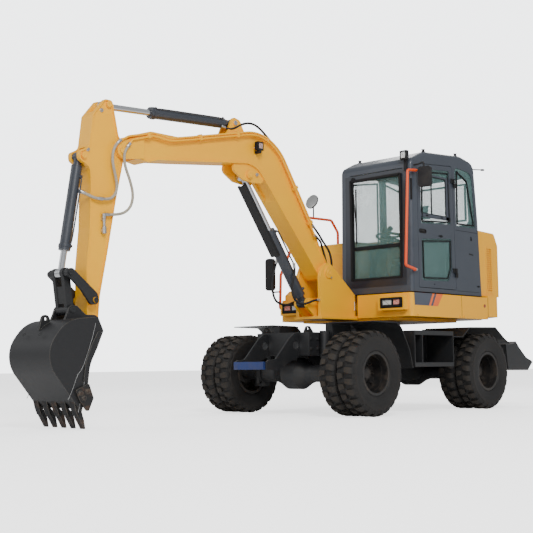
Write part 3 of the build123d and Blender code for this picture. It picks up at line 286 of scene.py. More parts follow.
def digging_steel():
    """Near-black bucket paint, scratched and burnished by soil."""
    finish = Finish("bucket_steel", Specular_IOR_Level=0.5)
    scratches = finish.noise(22, 6, 0.7, (1, 6, 0.6), seed=5)
    patches = finish.noise(3.5, 4, 0.6, seed=8)
    worn = finish.edges(0.008)
    scraped = finish.spread(scratches, 0.52, 0.68) * finish.spread(patches, 0.4, 0.65)
    colour = finish.mix(scraped * 0.5, (26, 26, 28), (58, 58, 60))
    colour = finish.mix(worn * 0.5, colour, (120, 116, 108))
    finish.vary(Base_Color=colour, Roughness=0.5 - scraped * 0.18, Metallic=scraped * 0.4 + worn * 0.4)
    return finish.bump(scratches, 0.001, 0.5, softened=0.004)


def glass():
    finish = Finish("cab_glass", IOR=1.45)
    smear = finish.noise(4, 4)
    finish.vary(Base_Color=finish.mix(smear, (104, 142, 138), (122, 158, 154)), Roughness=smear * 0.04 + 0.02)
    finish.vary(Alpha=smear * 0.08 + 0.3)
    return finish.material


def lens(name, colour, ribs):
    """Clear moulded plastic over a reflector, with ribs behind its face."""
    finish = Finish(name, Coat_Weight=0.8)
    wave = finish.waves("Y", ribs)
    finish.vary(Base_Color=finish.mix(wave * 0.5, colour, (255, 255, 255)), Roughness=wave * 0.1 + 0.12)
    return finish.bump(wave, 0.002, 0.6)


def mirror_glass():
    finish = Finish("mirror_glass", Metallic=1.0)
    smear = finish.noise(8, 3)
    finish.vary(Base_Color=finish.mix(smear, (190, 200, 206), (214, 220, 224)), Roughness=smear * 0.05 + 0.03)
    return finish.material


def woven(name, colour, lighter):
    """Seat cloth: a fine weave in two directions."""
    finish = Finish(name, Sheen_Weight=0.3)
    threads = 220
    weave = finish.waves("Y", threads) * finish.waves("Z", threads)
    fade = finish.noise(5, 4)
    finish.vary(Base_Color=finish.mix(weave * 0.5 + fade * 0.3, colour, lighter), Roughness=weave * 0.1 + 0.8)
    return finish.bump(weave, 0.0006, 0.8)


def braided(name, colour, lighter):
    """The woven sleeve of a hose."""
    finish = Finish(name, Specular_IOR_Level=0.3)
    weave = finish.node("ShaderNodeTexVoronoi", (), {"Vector": finish.place, "Scale": 260})
    fade = finish.noise(12, 4, seed=6)
    finish.vary(Base_Color=finish.mix(weave * 0.6 + fade * 0.4, colour, lighter), Roughness=weave * 0.2 + 0.7)
    return finish.bump(weave, 0.0012, 0.7)


finishes = {
    # material's name, its colour, the faded colour and the dust's
    "yellow": painted(
        "yellow_paint", (255, 180, 0), (255, 186, 0), (206, 160, 40), rough=0.42, coat=0.08, dust_amount=0.1
    ),
    "black": painted(
        "chassis_black", (27, 28, 30), (33, 34, 36), (74, 66, 56), rough=0.5, coat=0.05, dust_amount=0.22
    ),
    "guard": painted("guard_black", (16, 16, 17), (20, 20, 21), (46, 44, 42), rough=0.6, coat=0.0),
    "rim": painted(
        "rim_black", (26, 25, 25), (34, 32, 30), (84, 72, 60), rough=0.5, coat=0.1, dust_amount=0.6
    ),
    "slate": painted("cab_slate", (56, 62, 72), (62, 68, 78), (92, 92, 90), rough=0.42, coat=0.2),
    "navy": painted("pillar_navy", (24, 30, 42), (30, 36, 48), (76, 78, 82), rough=0.36, coat=0.3),
    "blue": painted("bar_blue", (14, 38, 92), (20, 46, 106), (80, 76, 72)),
    "orange": painted("rail_orange", (238, 78, 24), (244, 90, 34), (176, 96, 54)),
    "decal_dark": painted("stripe_grey", (66, 72, 84), (74, 80, 92), (120, 112, 96)),
    "decal_orange": painted("stripe_orange", (244, 104, 28), (246, 116, 42), (190, 116, 60)),
    "plug": painted("plug_brown", (150, 64, 40), (160, 74, 46), (150, 110, 80)),
    "headliner": painted("cab_lining", (84, 88, 94), (94, 98, 104), (110, 110, 106), rough=0.8, coat=0),
    "grey": painted("cylinder_grey", (46, 50, 58), (54, 58, 66), (100, 94, 84), rough=0.4),
    "tyre": tyre_rubber(),
    "moulded": rubber("black_moulding", (30, 30, 33), (70, 66, 60), 0.3),
    "gasket": rubber("window_gasket", (18, 18, 20), (52, 50, 48), 0.2),
    "hose": rubber("hose_rubber", (28, 28, 30), (80, 74, 66), 0.35),
    "sleeve": braided("hose_sleeve", (132, 124, 108), (190, 182, 164)),
    "chrome": steel("chrome_rod", (206, 208, 212), 0.12, (0.2, 8, 8)),
    "zinc": steel("zinc_plate", (176, 176, 172), 0.3),
    "bucket": digging_steel(),
    "weld": steel("weld_bead", (96, 95, 94), 0.5),
    "tooth": rusty_steel(),
    "glass": glass(),
    "clear_lens": lens("clear_lens", (214, 216, 214), 60),
    "amber_lens": lens("amber_lens", (240, 80, 8), 60),
    "rose_lens": lens("rose_lens", (176, 132, 116), 90),
    "mirror": mirror_glass(),
    "cloth": woven("seat_cloth", (34, 35, 38), (66, 68, 72)),
}

node_finish = {
    "yellow": "arm boom boom_pipes deck_frame engine_hood right_hood skirts counterweight hood_grilles",
    "black": "axle_locks blade blade_brackets chassis_frame drive_shafts fenders front_axle front_gussets "
    "rear_axle knuckle_left knuckle_right side_boxes slew_ring bucket_levers bucket_link",
    "guard": "boom_rod_guard",
    "rim": "rim_front_left rim_front_right rim_rear_left rim_rear_right",
    "slate": "cab_frame cab_door",
    "blue": "bumper_bar",
    "orange": "hand_rails",
    "grey": "arm_cylinder_barrel boom_cylinder_barrel bucket_cylinder_barrel blade_cylinder_barrel "
    "engine_block",
    "chrome": "arm_cylinder_rod boom_cylinder_rod bucket_cylinder_rod blade_cylinder_rod",
    "moulded": "boom_lamp controls headlamps mirrors seat work_lamps door_handle",
    "bucket": "bucket",
    "tooth": "bucket_teeth",
    "glass": "cab_glass door_glass",
    "tyre": "tyres_front_left tyres_front_right tyres_rear_left tyres_rear_right",
}
for finish_name, names in node_finish.items():
    for name in names.split():
        if name in nodes:
            mesh = nodes[name].data
            mesh.materials.clear()
            mesh.materials.append(finishes[finish_name])


# Meshes
def rounded(rows, steps=6):
    """A closed flat outline; each row is two places and the corner's radius."""
    points = []
    for i, row in enumerate(rows):
        corner = Vector(row[:2])
        radius = row[2] if len(row) > 2 else 0
        before = (Vector(rows[i - 1][:2]) - corner).normalized()
        after = (Vector(rows[(i + 1) % len(rows)][:2]) - corner).normalized()
        if not radius:
            points.append(corner)
            continue
        half = before.angle(after) / 2
        middle = corner + (before + after).normalized() * radius / math.sin(half)
        first = corner + before * radius / math.tan(half) - middle
        last = corner + after * radius / math.tan(half) - middle
        points += [middle + first.slerp(last, k / steps) for k in range(steps + 1)]
    return points


def grown_by(points, distance):
    """The outline with every side moved outwards by a distance."""
    area = sum(a.cross(b) for a, b in zip(points, points[1:] + points[:1]))
    turn = 1 if area > 0 else -1
    moved = []
    for i, point in enumerate(points):
        one = (point - points[i - 1]).normalized()
        two = (points[(i + 1) % len(points)] - point).normalized()
        outward = Vector((one.y + two.y, -one.x - two.x)) * turn
        moved.append(point + outward * distance / max(0.3, outward.length_squared / 2))
    return moved


def rectangle(a, b, radius=0):
    return [(a[0], b[0], radius), (a[1], b[0], radius), (a[1], b[1], radius), (a[0], b[1], radius)]


def lifted(point, axis, depth):
    """A flat outline's point at a depth along the axis that it faces."""
    a, b = point
    places = {"x": (depth, a, b), "y": (a, depth, b), "z": (a, b, depth)}
    return places[axis]


class Shape:
    """Gathers solids in millimetres and gives them as one mesh."""

    def __init__(self, local=False):
        self.bm = bmesh.new()
        self.local = local

    def corner(self, place):
        where = Vector(place) * MM if self.local else spot(*place)
        return self.bm.verts.new(where)

    def loops(self, loops, closed=True):
        """Skins a row of loops that each have as many points."""
        return self.skinned([[self.corner(point) for point in loop] for loop in loops], closed)

    def skinned(self, made, closed):
        pairs = list(zip(made, made[1:]))
        if closed:
            pairs.append((made[-1], made[0]))
        else:
            self.bm.faces.new(made[0])
            self.bm.faces.new(made[-1])
        for one, two in pairs:
            for k in range(len(one)):
                self.bm.faces.new((one[k - 1], one[k], two[k], two[k - 1]))
        return self

    def prism(self, points, axis, low, high, bevel=0.0):
        """A flat outline made solid from low to high, with its edges taken off by bevel."""
        inner = grown_by(points, -bevel) if bevel else points
        steps = [(inner, low), (points, low + bevel), (points, high - bevel), (inner, high)]
        if not bevel:
            steps = steps[::3]
        return self.lifted_loops(steps, axis, closed=False)

    def lifted_loops(self, steps, axis, closed=True):
        """Skins flat outlines, each at its depth along the axis that they face."""
        return self.loops([[lifted(p, axis, depth) for p in ring] for ring, depth in steps], closed)

    def on_sides(self, points, low, high, bevel=0.0):
        """A plate with a flat outline on the left side, and the same on the right."""
        return self.prism(points, "y", low, high, bevel).prism(points, "y", -high, -low, bevel)

    def box(self, x, y, z, bevel=2.0):
        """A box from its low and high x, y and z, rounded a little."""
        points = rounded(rectangle(x, y, bevel), 3) if bevel else rounded(rectangle(x, y))
        return self.prism(points, "z", z[0], z[1], bevel)

    def rim_of(self, points, axis, low, high, inside, outside):
        """A frame along an outline, from inside it to outside it."""
        inner = grown_by(points, -inside)
        outer = grown_by(points, outside)
        return self.lifted_loops([(inner, low), (outer, low), (outer, high), (inner, high)], axis)

    def turned(self, rows, middle, direction, steps=24):
        """A lathe shape: rows of radius and height along the direction, both ends at radius 0 or joined."""
        away = Vector(direction).normalized()
        side = away.orthogonal().normalized()
        other = away.cross(side)
        centre = Vector(middle)
        turns = [2 * math.pi * k / steps for k in range(steps)]

        def ring(radius, height):
            foot = centre + away * height
            return [foot + (side * math.cos(t) + other * math.sin(t)) * radius for t in turns]

        if rows[0][0] == 0:
            rows = [(0.02, rows[0][1])] + rows[1:-1] + [(0.02, rows[-1][1])]
            return self.loops([ring(*row) for row in rows], closed=False)
        return self.loops([ring(*row) for row in rows])

    def turned_on_sides(self, rows, middle, steps=24):
        """A lathe shape that faces left, and its twin on the right."""
        x, y, z = middle
        return self.turned(rows, middle, LEFT, steps).turned(rows, (x, -y, z), RIGHT, steps)

    def tube(self, path, radius, sides=12):
        """A round bar along points that are already in metres."""
        nearby = zip(path[:1] + path[:-1], path[1:] + path[-1:])
        along = [(after - before).normalized() for before, after in nearby]
        side = along[0].orthogonal().normalized()
        rings = []
        for point, ahead in zip(path, along):
            side = (side - ahead * side.dot(ahead)).normalized()
            other = ahead.cross(side)
            turns = [2 * math.pi * k / sides for k in range(sides)]
            rings.append([point + (side * math.cos(t) + other * math.sin(t)) * radius * MM for t in turns])
        return self.skinned([[self.bm.verts.new(place) for place in ring] for ring in rings], closed=False)

    def made(self, name, smooth=35):
        bmesh.ops.recalc_face_normals(self.bm, faces=self.bm.faces)
        mesh = bpy.data.meshes.new(name)
        self.bm.to_mesh(mesh)
        self.bm.free()
        mesh.shade_smooth()
        mesh.set_sharp_from_angle(angle=math.radians(smooth))
        return mesh


def soil_and_highlight_value(mesh, level):
    """Writes how much dirt and painted highlight each vertex carries, from its radius in millimetres."""
    levels = mesh.attributes.new("soil_and_highlight", "FLOAT", "POINT")
    for item, vertex in zip(levels.data, mesh.vertices):
        item.value = level(math.hypot(vertex.co.x, vertex.co.z) / MM)
    return mesh


HERE = Matrix.Identity(4)


def joined(name, parts):
    """Several meshes, each with its place, as one mesh that keeps the value of dirt and painted highlight."""
    corners, faces, soil_and_highlight = [], [], []
    for mesh, place in parts:
        start = len(corners)
        corners += [place @ vertex.co for vertex in mesh.vertices]
        faces += [[start + i for i in face.vertices] for face in mesh.polygons]
        carried = mesh.attributes.get("soil_and_highlight")
        soil_and_highlight += [item.value for item in carried.data] if carried else [0.0] * len(mesh.vertices)
    whole = bpy.data.meshes.new(name)
    whole.from_pydata(corners, [], faces)
    whole.attributes.new("soil_and_highlight", "FLOAT", "POINT").data.foreach_set("value", soil_and_highlight)
    whole.shade_smooth()
    whole.set_sharp_from_angle(angle=math.radians(35))
    return whole


def put(name, shape, body, finish):
    """Sets a shape or mesh on a body, in one finish; with no body, it is fastened to none."""
    mesh = shape.made(name) if isinstance(shape, Shape) else shape
    mesh.materials.clear()
    mesh.materials.append(finishes[finish])
    piece = bpy.data.objects.new(name, mesh)
    bpy.context.scene.collection.objects.link(piece)
    if body:
        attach(piece, body)
    return piece


def route(points, steps=10):
    """Points along a smooth line that the given points, in millimetres, pull on."""
    curve = bpy.data.curves.new("route", "CURVE")
    curve.dimensions = "3D"
    spline = curve.splines.new("NURBS")
    spline.points.add(len(points) - 1)
    for knot, place in zip(spline.points, points):
        knot.co = (*spot(*place), 1)
    spline.order_u = 3
    spline.use_endpoint_u = True
    spline.resolution_u = steps
    holder = bpy.data.objects.new("route", curve)
    mesh = bpy.data.meshes.new_from_object(holder)
    path = [vertex.co.copy() for vertex in mesh.vertices]
    bpy.data.objects.remove(holder)
    bpy.data.meshes.remove(mesh)
    return path


# Geometry Nodes for what repeats
def new_tree(name, inputs):
    tree = bpy.data.node_groups.new(name, "GeometryNodeTree")
    tree.interface.new_socket("Geometry", in_out="INPUT", socket_type="NodeSocketGeometry")
    tree.interface.new_socket("Geometry", in_out="OUTPUT", socket_type="NodeSocketGeometry")
    for label, kind in inputs:
        tree.interface.new_socket(label, in_out="INPUT", socket_type="NodeSocket" + kind)
    tree.nodes.new("NodeGroupInput").name = "in"
    tree.nodes.new("NodeGroupOutput").name = "out"
    return tree


def grow(tree, kind, name, settings=(), **inputs):
    """Adds a node to a tree; an input is a value or a pair of node and output."""
    node = tree.nodes.new(kind)
    node.name = name
    for key, value in dict(settings).items():
        setattr(node, key, value)
    for key, value in inputs.items():
        label = key.replace("_", " ")
        socket = node.inputs[int(label[1:])] if label[1:].isdigit() else node.inputs[label]
        if isinstance(value, tuple) and isinstance(value[0], str):
            tree.links.new(tree.nodes[value[0]].outputs[value[1]], socket)
        else:
            socket.default_value = value
    return node


def end_tree(tree, points, instance, rotation):
    """Sets an instance at every point, made real and given its material."""
    places = {"Points": points, "Instance": instance, "Rotation": rotation}
    grow(tree, "GeometryNodeInstanceOnPoints", "set", **places)
    grow(tree, "GeometryNodeRealizeInstances", "whole", Geometry=("set", "Instances"))
    given = {"Geometry": ("whole", "Geometry"), "Material": ("in", "Material")}
    grow(tree, "GeometryNodeSetMaterial", "painted", **given)
    tree.links.new(tree.nodes["painted"].outputs["Geometry"], tree.nodes["out"].inputs["Geometry"])
    return tree


def copies_tree():
    """Copies of the mesh, each turned and moved on from the one before."""
    inputs = [("Count", "Int"), ("Turn", "Vector"), ("Step", "Vector"), ("Material", "Material")]
    tree = new_tree("copies", inputs)
    grow(tree, "GeometryNodeInputIndex", "number")
    for name, label in (("moved", "Step"), ("turned", "Turn")):
        times = ("number", "Index")
        grow(tree, "ShaderNodeVectorMath", name, {"operation": "SCALE"}, i0=("in", label), Scale=times)
    grow(tree, "GeometryNodePoints", "places", Count=("in", "Count"), Position=("moved", "Vector"))
    return end_tree(tree, ("places", 0), ("in", "Geometry"), ("turned", "Vector"))


def heads_tree():
    """A hexagon head on a washer at every point, turned to the point's facing."""
    inputs = [("Across", "Float"), ("Height", "Float"), ("Material", "Material")]
    tree = new_tree("bolt_heads", inputs)
    rows = [
        # size, input that it is a share of, the share
        ("half", "Across", 0.577),
        ("flange", "Across", 0.85),
        ("lift", "Height", 0.5),
        ("thin", "Height", 0.4),
    ]
    for name, label, share in rows:
        grow(tree, "ShaderNodeMath", name, {"operation": "MULTIPLY"}, i0=("in", label), i1=share)
    grow(tree, "ShaderNodeCombineXYZ", "raised", Z=("lift", "Value"))
    parts = [("hexagon", 6, "half", ("in", "Height")), ("washer", 16, "flange", ("thin", "Value"))]
    for name, sides, radius, depth in parts:
        sizes = {"Vertices": sides, "Radius": (radius, "Value"), "Depth": depth}
        grow(tree, "GeometryNodeMeshCylinder", name, **sizes)
    moved = {"Geometry": ("hexagon", "Mesh"), "Translation": ("raised", "Vector")}
    grow(tree, "GeometryNodeTransform", "head", **moved)
    join = grow(tree, "GeometryNodeJoinGeometry", "bolt")
    for name, output in (("head", "Geometry"), ("washer", "Mesh")):
        tree.links.new(tree.nodes[name].outputs[output], join.inputs[0])
    grow(tree, "GeometryNodeInputNamedAttribute", "facing", {"data_type": "FLOAT_VECTOR"}, Name="facing")
    grow(tree, "FunctionNodeAlignEulerToVector", "aimed", {"axis": "Z"}, Vector=("facing", "Attribute"))
    return end_tree(tree, ("in", "Geometry"), ("bolt", "Geometry"), ("aimed", "Rotation"))


copies = copies_tree()
bolt_heads = heads_tree()


def evaluated_mesh(holder):
    view = bpy.context.evaluated_depsgraph_get()
    finished = holder.evaluated_get(view)
    return bpy.data.meshes.new_from_object(finished, preserve_all_data_layers=True, depsgraph=view)


def grown(mesh, tree, **inputs):
    """The mesh after a tree has worked on it."""
    holder = bpy.data.objects.new("grown", mesh)
    bpy.context.scene.collection.objects.link(holder)
    modifier = holder.modifiers.new("tree", "NODES")
    modifier.node_group = tree
    for socket in tree.interface.items_tree:
        if socket.in_out == "INPUT" and socket.name in inputs:
            modifier[socket.identifier] = inputs[socket.name]
    result = evaluated_mesh(holder)
    bpy.data.objects.remove(holder)
    return result


def bolts(name, body, rows, across=24, height=10, finish="zinc"):
    """Bolt heads; each row is the place, in millimetres, and the way that it faces."""
    mesh = bpy.data.meshes.new(name)
    mesh.from_pydata([spot(*place) for place, facing in rows], [], [])
    facings = mesh.attributes.new("facing", "FLOAT_VECTOR", "POINT")
    for item, (place, facing) in zip(facings.data, rows):
        item.vector = facing
    heads = grown(mesh, bolt_heads, Across=across * MM, Height=height * MM, Material=finishes[finish])
    heads.name = name
    return put(name, heads, body, finish)


def bolt_rows(places, facing):
    return [(place, facing) for place in places]


def on_both(rows):
    """Rows of places on the left side, and the same on the right."""
    return bolt_rows(rows, LEFT) + bolt_rows([(x, -y, z) for x, y, z in rows], RIGHT)


def along_cylinder(line, along, aside, y):
    """A place measured along a cylinder from its foot pin, aside from its middle line."""
    (x0, z0), (x1, z1) = line
    length = math.hypot(x1 - x0, z1 - z0)
    dx, dz = (x1 - x0) / length, (z1 - z0) / length
    return (x0 + dx * along - dz * aside, y, z0 + dz * along + dx * aside)


def direction_of(line):
    """The way that a cylinder points, from its foot pin."""
    (x0, z0), (x1, z1) = line
    return Vector((x1 - x0, 0, z1 - z0)).normalized()


# Tyres: a turned carcass and two rings of lugs, offset by half a pitch
LUGS = 24
STUDS = 10


def tyre_mesh():
    """One tyre round the middle of its axle, with how much dirt and painted highlight it carries on each
    vertex.
    """
    profile = [
        # radius, width from the tyre's middle
        (206, 60), (207, 76), (224, 78), (232, 90), (262, 101), (318, 107.4), (346, 107.4), (351, 109),
        (360, 109), (365, 106.5), (380, 99), (400, 94), (405, 60), (407, 20),
    ]
    rows = profile + [(radius, -width) for radius, width in reversed(profile)]
    carcass = Shape(local=True).turned(rows, (0, 0, 0), LEFT, 96).made("carcass", 50)
    soil_and_highlight_value(carcass, lambda radius: 0.3 if 340 < radius <= 392 else 0.12)
    section = [
        # width, radius, half the lug's length ahead, and behind
        (10, 402, 17, 31), (10, 427, 15, 29), (44, 430, 22, 33), (60, 430, 30, 33), (77, 425, 31, 32),
        (96, 405, 31, 31), (106, 378, 28, 28), (103, 366, 23, 23), (96, 366, 23, 23),
    ]
    lugs = Shape(local=True)
    for side in (1, -1):
        half_pitch = math.pi / LUGS * (side < 0)
        loops = [[], []]
        for width, radius, ahead, behind in section:
            for loop, reach in zip(loops, (ahead, -behind)):
                turn = half_pitch + reach / TYRE_RADIUS
                loop.append((math.sin(turn) * radius, width * side, math.cos(turn) * radius))
        lugs.loops(loops, closed=False)
    edges = [edge for edge in lugs.bm.edges if edge.calc_face_angle(0) > 0.5]
    bmesh.ops.bevel(lugs.bm, geom=edges, offset=4 * MM, segments=2, affect="EDGES", profile=0.6)
    unit = lugs.made("lug", 45)
    # Lighter towards the lugs' tops: dirt and a painted highlight.
    soil_and_highlight_value(unit, lambda radius: min(1.0, max(0.1, (radius - 398) / 34)))
    ring = grown(unit, copies, Count=LUGS, Turn=(0, 2 * math.pi / LUGS, 0), Material=finishes["tyre"])
    return joined("tyre", [(carcass, HERE), (ring, HERE)])


def rim_details():
    """The studs, the hub's cap and two step rings on the outer face of a rim."""
    shape = Shape(local=True)
    shape.turned([(0, 0), (58, 0), (58, 8), (50, 14), (20, 16), (0, 16)], (0, 75, 0), LEFT, 32)
    shape.turned([(186, 0), (193, 0), (193, 9), (186, 9)], (0, 112, 0), LEFT, 64)
    shape.turned([(120, 0), (128, 0), (126, 7), (120, 7)], (0, 15, 0), LEFT, 48)
    stud = Shape(local=True)
    stud.turned([(0, 0), (15, 0), (15, 12), (9, 13), (9, 26), (0, 26)], (158, 16, 0), LEFT, 6)
    turn = (0, 2 * math.pi / STUDS, 0)
    ring = grown(stud.made("stud"), copies, Count=STUDS, Turn=turn, Material=finishes["rim"])
    return joined("rim_details", [(shape.made("rim_steps"), HERE), (ring, HERE)])


def wheel_place(x, y, sign):
    """The place of a wheel's piece, turned to face outwards on the side that sign gives."""
    turn = Matrix.Rotation(0 if sign > 0 else math.pi, 4, "Z")
    return Matrix.Translation((x, y * sign * MM, AXLE_Z * MM)) @ turn


def dress_wheels():
    tyre = tyre_mesh()
    details = rim_details()
    first_spin, spin_apart = 0.11, 0.07
    for end, x in (("front", front_axle_x), ("rear", rear_axle_x)):
        for side, sign in (("left", 1), ("right", -1)):
            body = f"wheel_{end}_{side}"
            spins = [Matrix.Rotation(first_spin + spin_apart * i, 4, "Y") for i in range(len(TWIN_Y))]
            pair = [(tyre, wheel_place(x, y, sign) @ spin) for y, spin in zip(TWIN_Y, spins)]
            name = f"tyre_pair_{end}_{side}"
            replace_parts(put(name, joined(name, pair), body, "tyre"), f"tyres_{end}_{side}")
            name = f"rim_details_{end}_{side}"
            put(name, joined(name, [(details, wheel_place(x, sum(TWIN_Y) / 2, sign))]), body, "rim")


def pin_caps():
    """A cap over each end of every pin that shows."""
    rows = [
        # name, body, pin, the face's y, radius, height, finish
        ("boom_foot", "upper", BOOM_FOOT, 194, 30, 5, "yellow"),
        ("boom_nose", "boom", BOOM_NOSE, 124, 29, 4, "yellow"),
        ("boom_cylinder_top", "boom", BOOM_CYLINDER[1], 113, 30, 5, "yellow"),
        ("boom_cylinder_foot", "upper", BOOM_CYLINDER[0], 98, 27, 5, "yellow"),
        ("arm_cylinder_foot", "boom", ARM_CYLINDER[0], 80, 26, 5, "zinc"),
        ("arm_cylinder_rod", "arm", ARM_CYLINDER[1], 93, 28, 5, "yellow"),
        ("bucket_cylinder_foot", "arm", BUCKET_CYLINDER[0], 93, 27, 5, "yellow"),
        ("lever_pin", "arm", LEVER_PIN, 155, 25, 5, "black"),
        ("lever_tip", "bucket_levers", BUCKET_CYLINDER[1], 153, 22, 5, "black"),
        ("bucket_pin", "bucket", BUCKET_PIN, 115, 28, 6, "black"),
        ("link_pin", "bucket", LINK_PIN, 112, 28, 6, "black"),
    ]
    for name, body, (x, z), face, radius, height, finish in rows:
        profile = [
            # radius, height from the face
            (0, 0), (radius, 0), (radius, height - 2), (radius - 2, height), (radius * 0.45, height),
            (radius * 0.4, height - 2), (0, height - 2),
        ]
        put(f"pin_cap_{name}", Shape().turned_on_sides(profile, (x, face, z), 32), body, finish)


def keepers():
    """Flat keepers beside the pins, each held by bolts."""
    rows = [
        # name, body, places of its ends, y of its foot, width, bolts, finish
        ("boom_foot", "upper", ((704, 1530), (678, 1462)), 180, 42, ((700, 1532), (683, 1468)), "yellow"),
        ("boom_nose", "boom", ((3403, 2512), (3396, 2424)), 93, 50, ((3403, 2499), (3396, 2437)), "yellow"),
        ("boom_lamp_plate", "boom", ((1792, 2756), (1742, 2742)), 93, 44, ((1765, 2753),), "yellow"),
    ]
    thick = 9
    for name, body, ends, y, width, places, finish in rows:
        low, high = Vector(ends[0]), Vector(ends[1])
        ahead = (high - low).normalized()
        side = Vector((-ahead.y, ahead.x)) * width / 2
        outline = rounded([(*corner, 12) for corner in (low + side, low - side, high - side, high + side)])
        put(f"keeper_{name}", Shape().on_sides(outline, y, y + thick, 1.5), body, finish)
        bolts(f"keeper_bolts_{name}", body, on_both([(x, y + thick, z) for x, z in places]), 19, 8)
    single = [
        # name, body, place
        ("arm_rod", "arm", (3712, 75, 2804)),
        ("bucket_foot", "arm", (3858, 75, 2428)),
        ("boom_top", "boom", (1738, 93, 2476)),
    ]
    profile = [(0, 0), (19, 0), (19, 4), (13, 6), (13, 16), (0, 16)]
    for name, body, place in single:
        put(f"keeper_{name}", Shape().turned_on_sides(profile, place), body, "zinc")


# Hoses and pipes
def hose(name, bodies, bend, points, diameter=24, finish="hose"):
    """A hose with a crimped end at each fitting; bend is not used."""
    path = route(points)
    piece = put(name, Shape().tube(path, diameter / 2, 14), None, finish)
    spot(*bend[0])
    spot(*bend[1])
    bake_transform(piece)
    diameter * MM
    wide = diameter / 2
    profile = [
        # radius, height from the hose's end
        (0, -14), (wide + 5, -14), (wide + 5, -2), (wide + 1, 0), (wide + 3, 2), (wide + 3, 34),
        (wide + 1, 38), (0, 38),
    ]
    ends = ((path[0], path[3], bodies[0]), (path[-1], path[-4], bodies[1]))
    for i, (end, inner, body) in enumerate(ends):
        foot = (end - Vector((origin_x, 0, 0))) / MM
        crimp = Shape().turned(profile, foot, (inner - end).normalized(), 12)
        put(f"{name}_fitting_{i + 1}", crimp, body, "zinc")


def lay_hoses(rows, **looks):
    """Hoses; each row is a name, two bodies, where the bend starts and ends, and the points."""
    for row in rows:
        hose(*row, **looks)


def boom_hoses():
    """Sleeved hoses from the boom's pipes to the arm's valve and the bucket's cylinder."""
    port = (3906, 50, 2050)
    rest_point = (3740, 110, 1998)
    rows = [
        ("hose_bucket_cylinder", ("boom", "arm"), ((3560, 130, 2600), (3570, 118, 2200)), [
            (3544, 126, 2546), (3588, 129, 2505), (3622, 124, 2430), (3618, 120, 2330), (3580, 118, 2215),
            (3562, 118, 2110), (3592, 116, 2040), (3650, 112, 2000), rest_point,
        ]),
        ("hose_bucket_port", ("arm", "bucket_cylinder_barrel"), (rest_point, port), [
            rest_point, (3800, 108, 1996), (3850, 92, 2018), port,
        ]),
        ("hose_arm_valve", ("boom", "arm"), ((3440, 130, 2560), (3440, 130, 2150)), [
            (3438, 130, 2528), (3470, 132, 2490), (3500, 130, 2420), (3486, 130, 2320), (3430, 132, 2200),
            (3390, 130, 2080), (3404, 126, 1976), (3462, 118, 1906), (3560, 108, 1872), (3676, 100, 1864),
        ]),
    ]
    lay_hoses(rows, diameter=26, finish="sleeve")


def tool_pipes():
    """A steel pipe along each big cylinder, and the valve on the arm."""
    rows = [
        # name, body, cylinder, diameter, finish, points as along, aside and y
        ("pipe_bucket_cylinder", "bucket_cylinder_barrel", BUCKET_CYLINDER, 13, "grey", [
            (190, -20, 46), (200, -26, 62), (230, -26, 64), (420, -26, 64), (640, -24, 64), (800, -20, 62),
            (822, -16, 46),
        ]),
        ("pipe_arm_cylinder", "arm_cylinder_barrel", ARM_CYLINDER, 14, "grey", [
            (150, 30, 40), (170, 36, 52), (210, 38, 54), (500, 38, 54), (900, 38, 54), (1030, 36, 50),
            (1045, 26, 34),
        ]),
        ("pipe_boom_cylinder", "boom_cylinder_barrel", BOOM_CYLINDER, 16, "hose", [
            (868, 50, 40), (872, 58, 62), (840, 50, 76), (600, 46, 78), (500, 46, 78), (470, 52, 76),
        ]),
    ]
    for name, body, line, diameter, finish, points in rows:
        path = route([along_cylinder(line, *point) for point in points])
        put(name, Shape().tube(path, diameter / 2, 12), body, finish)
    valve = Shape()
    profile = [(0, 0), (22, 0), (22, 60), (14, 64), (14, 130), (20, 134), (20, 176), (0, 176)]
    valve.turned(profile, (3690, 98, 1694), (0.03, 0, 1), 20)
    for z in (1700, 1810):
        valve.box((3668, 3712), (76, 96), (z, z + 40))
    put("arm_valve", valve, "arm", "zinc")


def cylinder_rings():
    """Glands, weld rings and port blocks of the four cylinders."""
    rows = [
        # body, line, bore radius, barrel from, barrel to, ports as along, aside and y
        ("boom_cylinder_barrel", BOOM_CYLINDER, 60, 95, 910, ((868, 52, 36), (150, 40, 30))),
        ("arm_cylinder_barrel", ARM_CYLINDER, 52, 100, 1065, ((1030, 30, 40), (150, 30, 40))),
        (
            "bucket_cylinder_barrel", BUCKET_CYLINDER, 48, 85, 850,
            ((812, -20, 42), (312, -36, 34), (182, -20, 42)),
        ),
        ("blade_cylinder_barrel", BLADE_CYLINDER, 38, 60, 330, ((310, 30, 20), (80, 30, 20))),
    ]
    for body, line, bore, low, high, ports in rows:
        shape = Shape()
        away = direction_of(line)
        gland = [(bore + 4.5, 0), (bore + 8, 2), (bore + 8, 26), (bore + 4.5, 28)]
        weld = [(bore - 2, 0), (bore + 2, 2), (bore + 2, 8), (bore - 2, 10)]
        shape.turned(gland, along_cylinder(line, high - 50, 0, 0), away, 40)
        shape.turned(weld, along_cylinder(line, low + 4, 0, 0), away, 40)
        port = [(0, 0), (17, 0), (17, 12), (13, 14), (13, 26), (0, 26)]
        for along, aside, y in ports:
            foot = Vector(along_cylinder(line, along, 0, 0))
            out = (Vector(along_cylinder(line, along, aside, y)) - foot).normalized()
            shape.turned(port, foot + out * (bore - 6), out, 14)
        put(f"{body}_rings", shape, body, "grey")


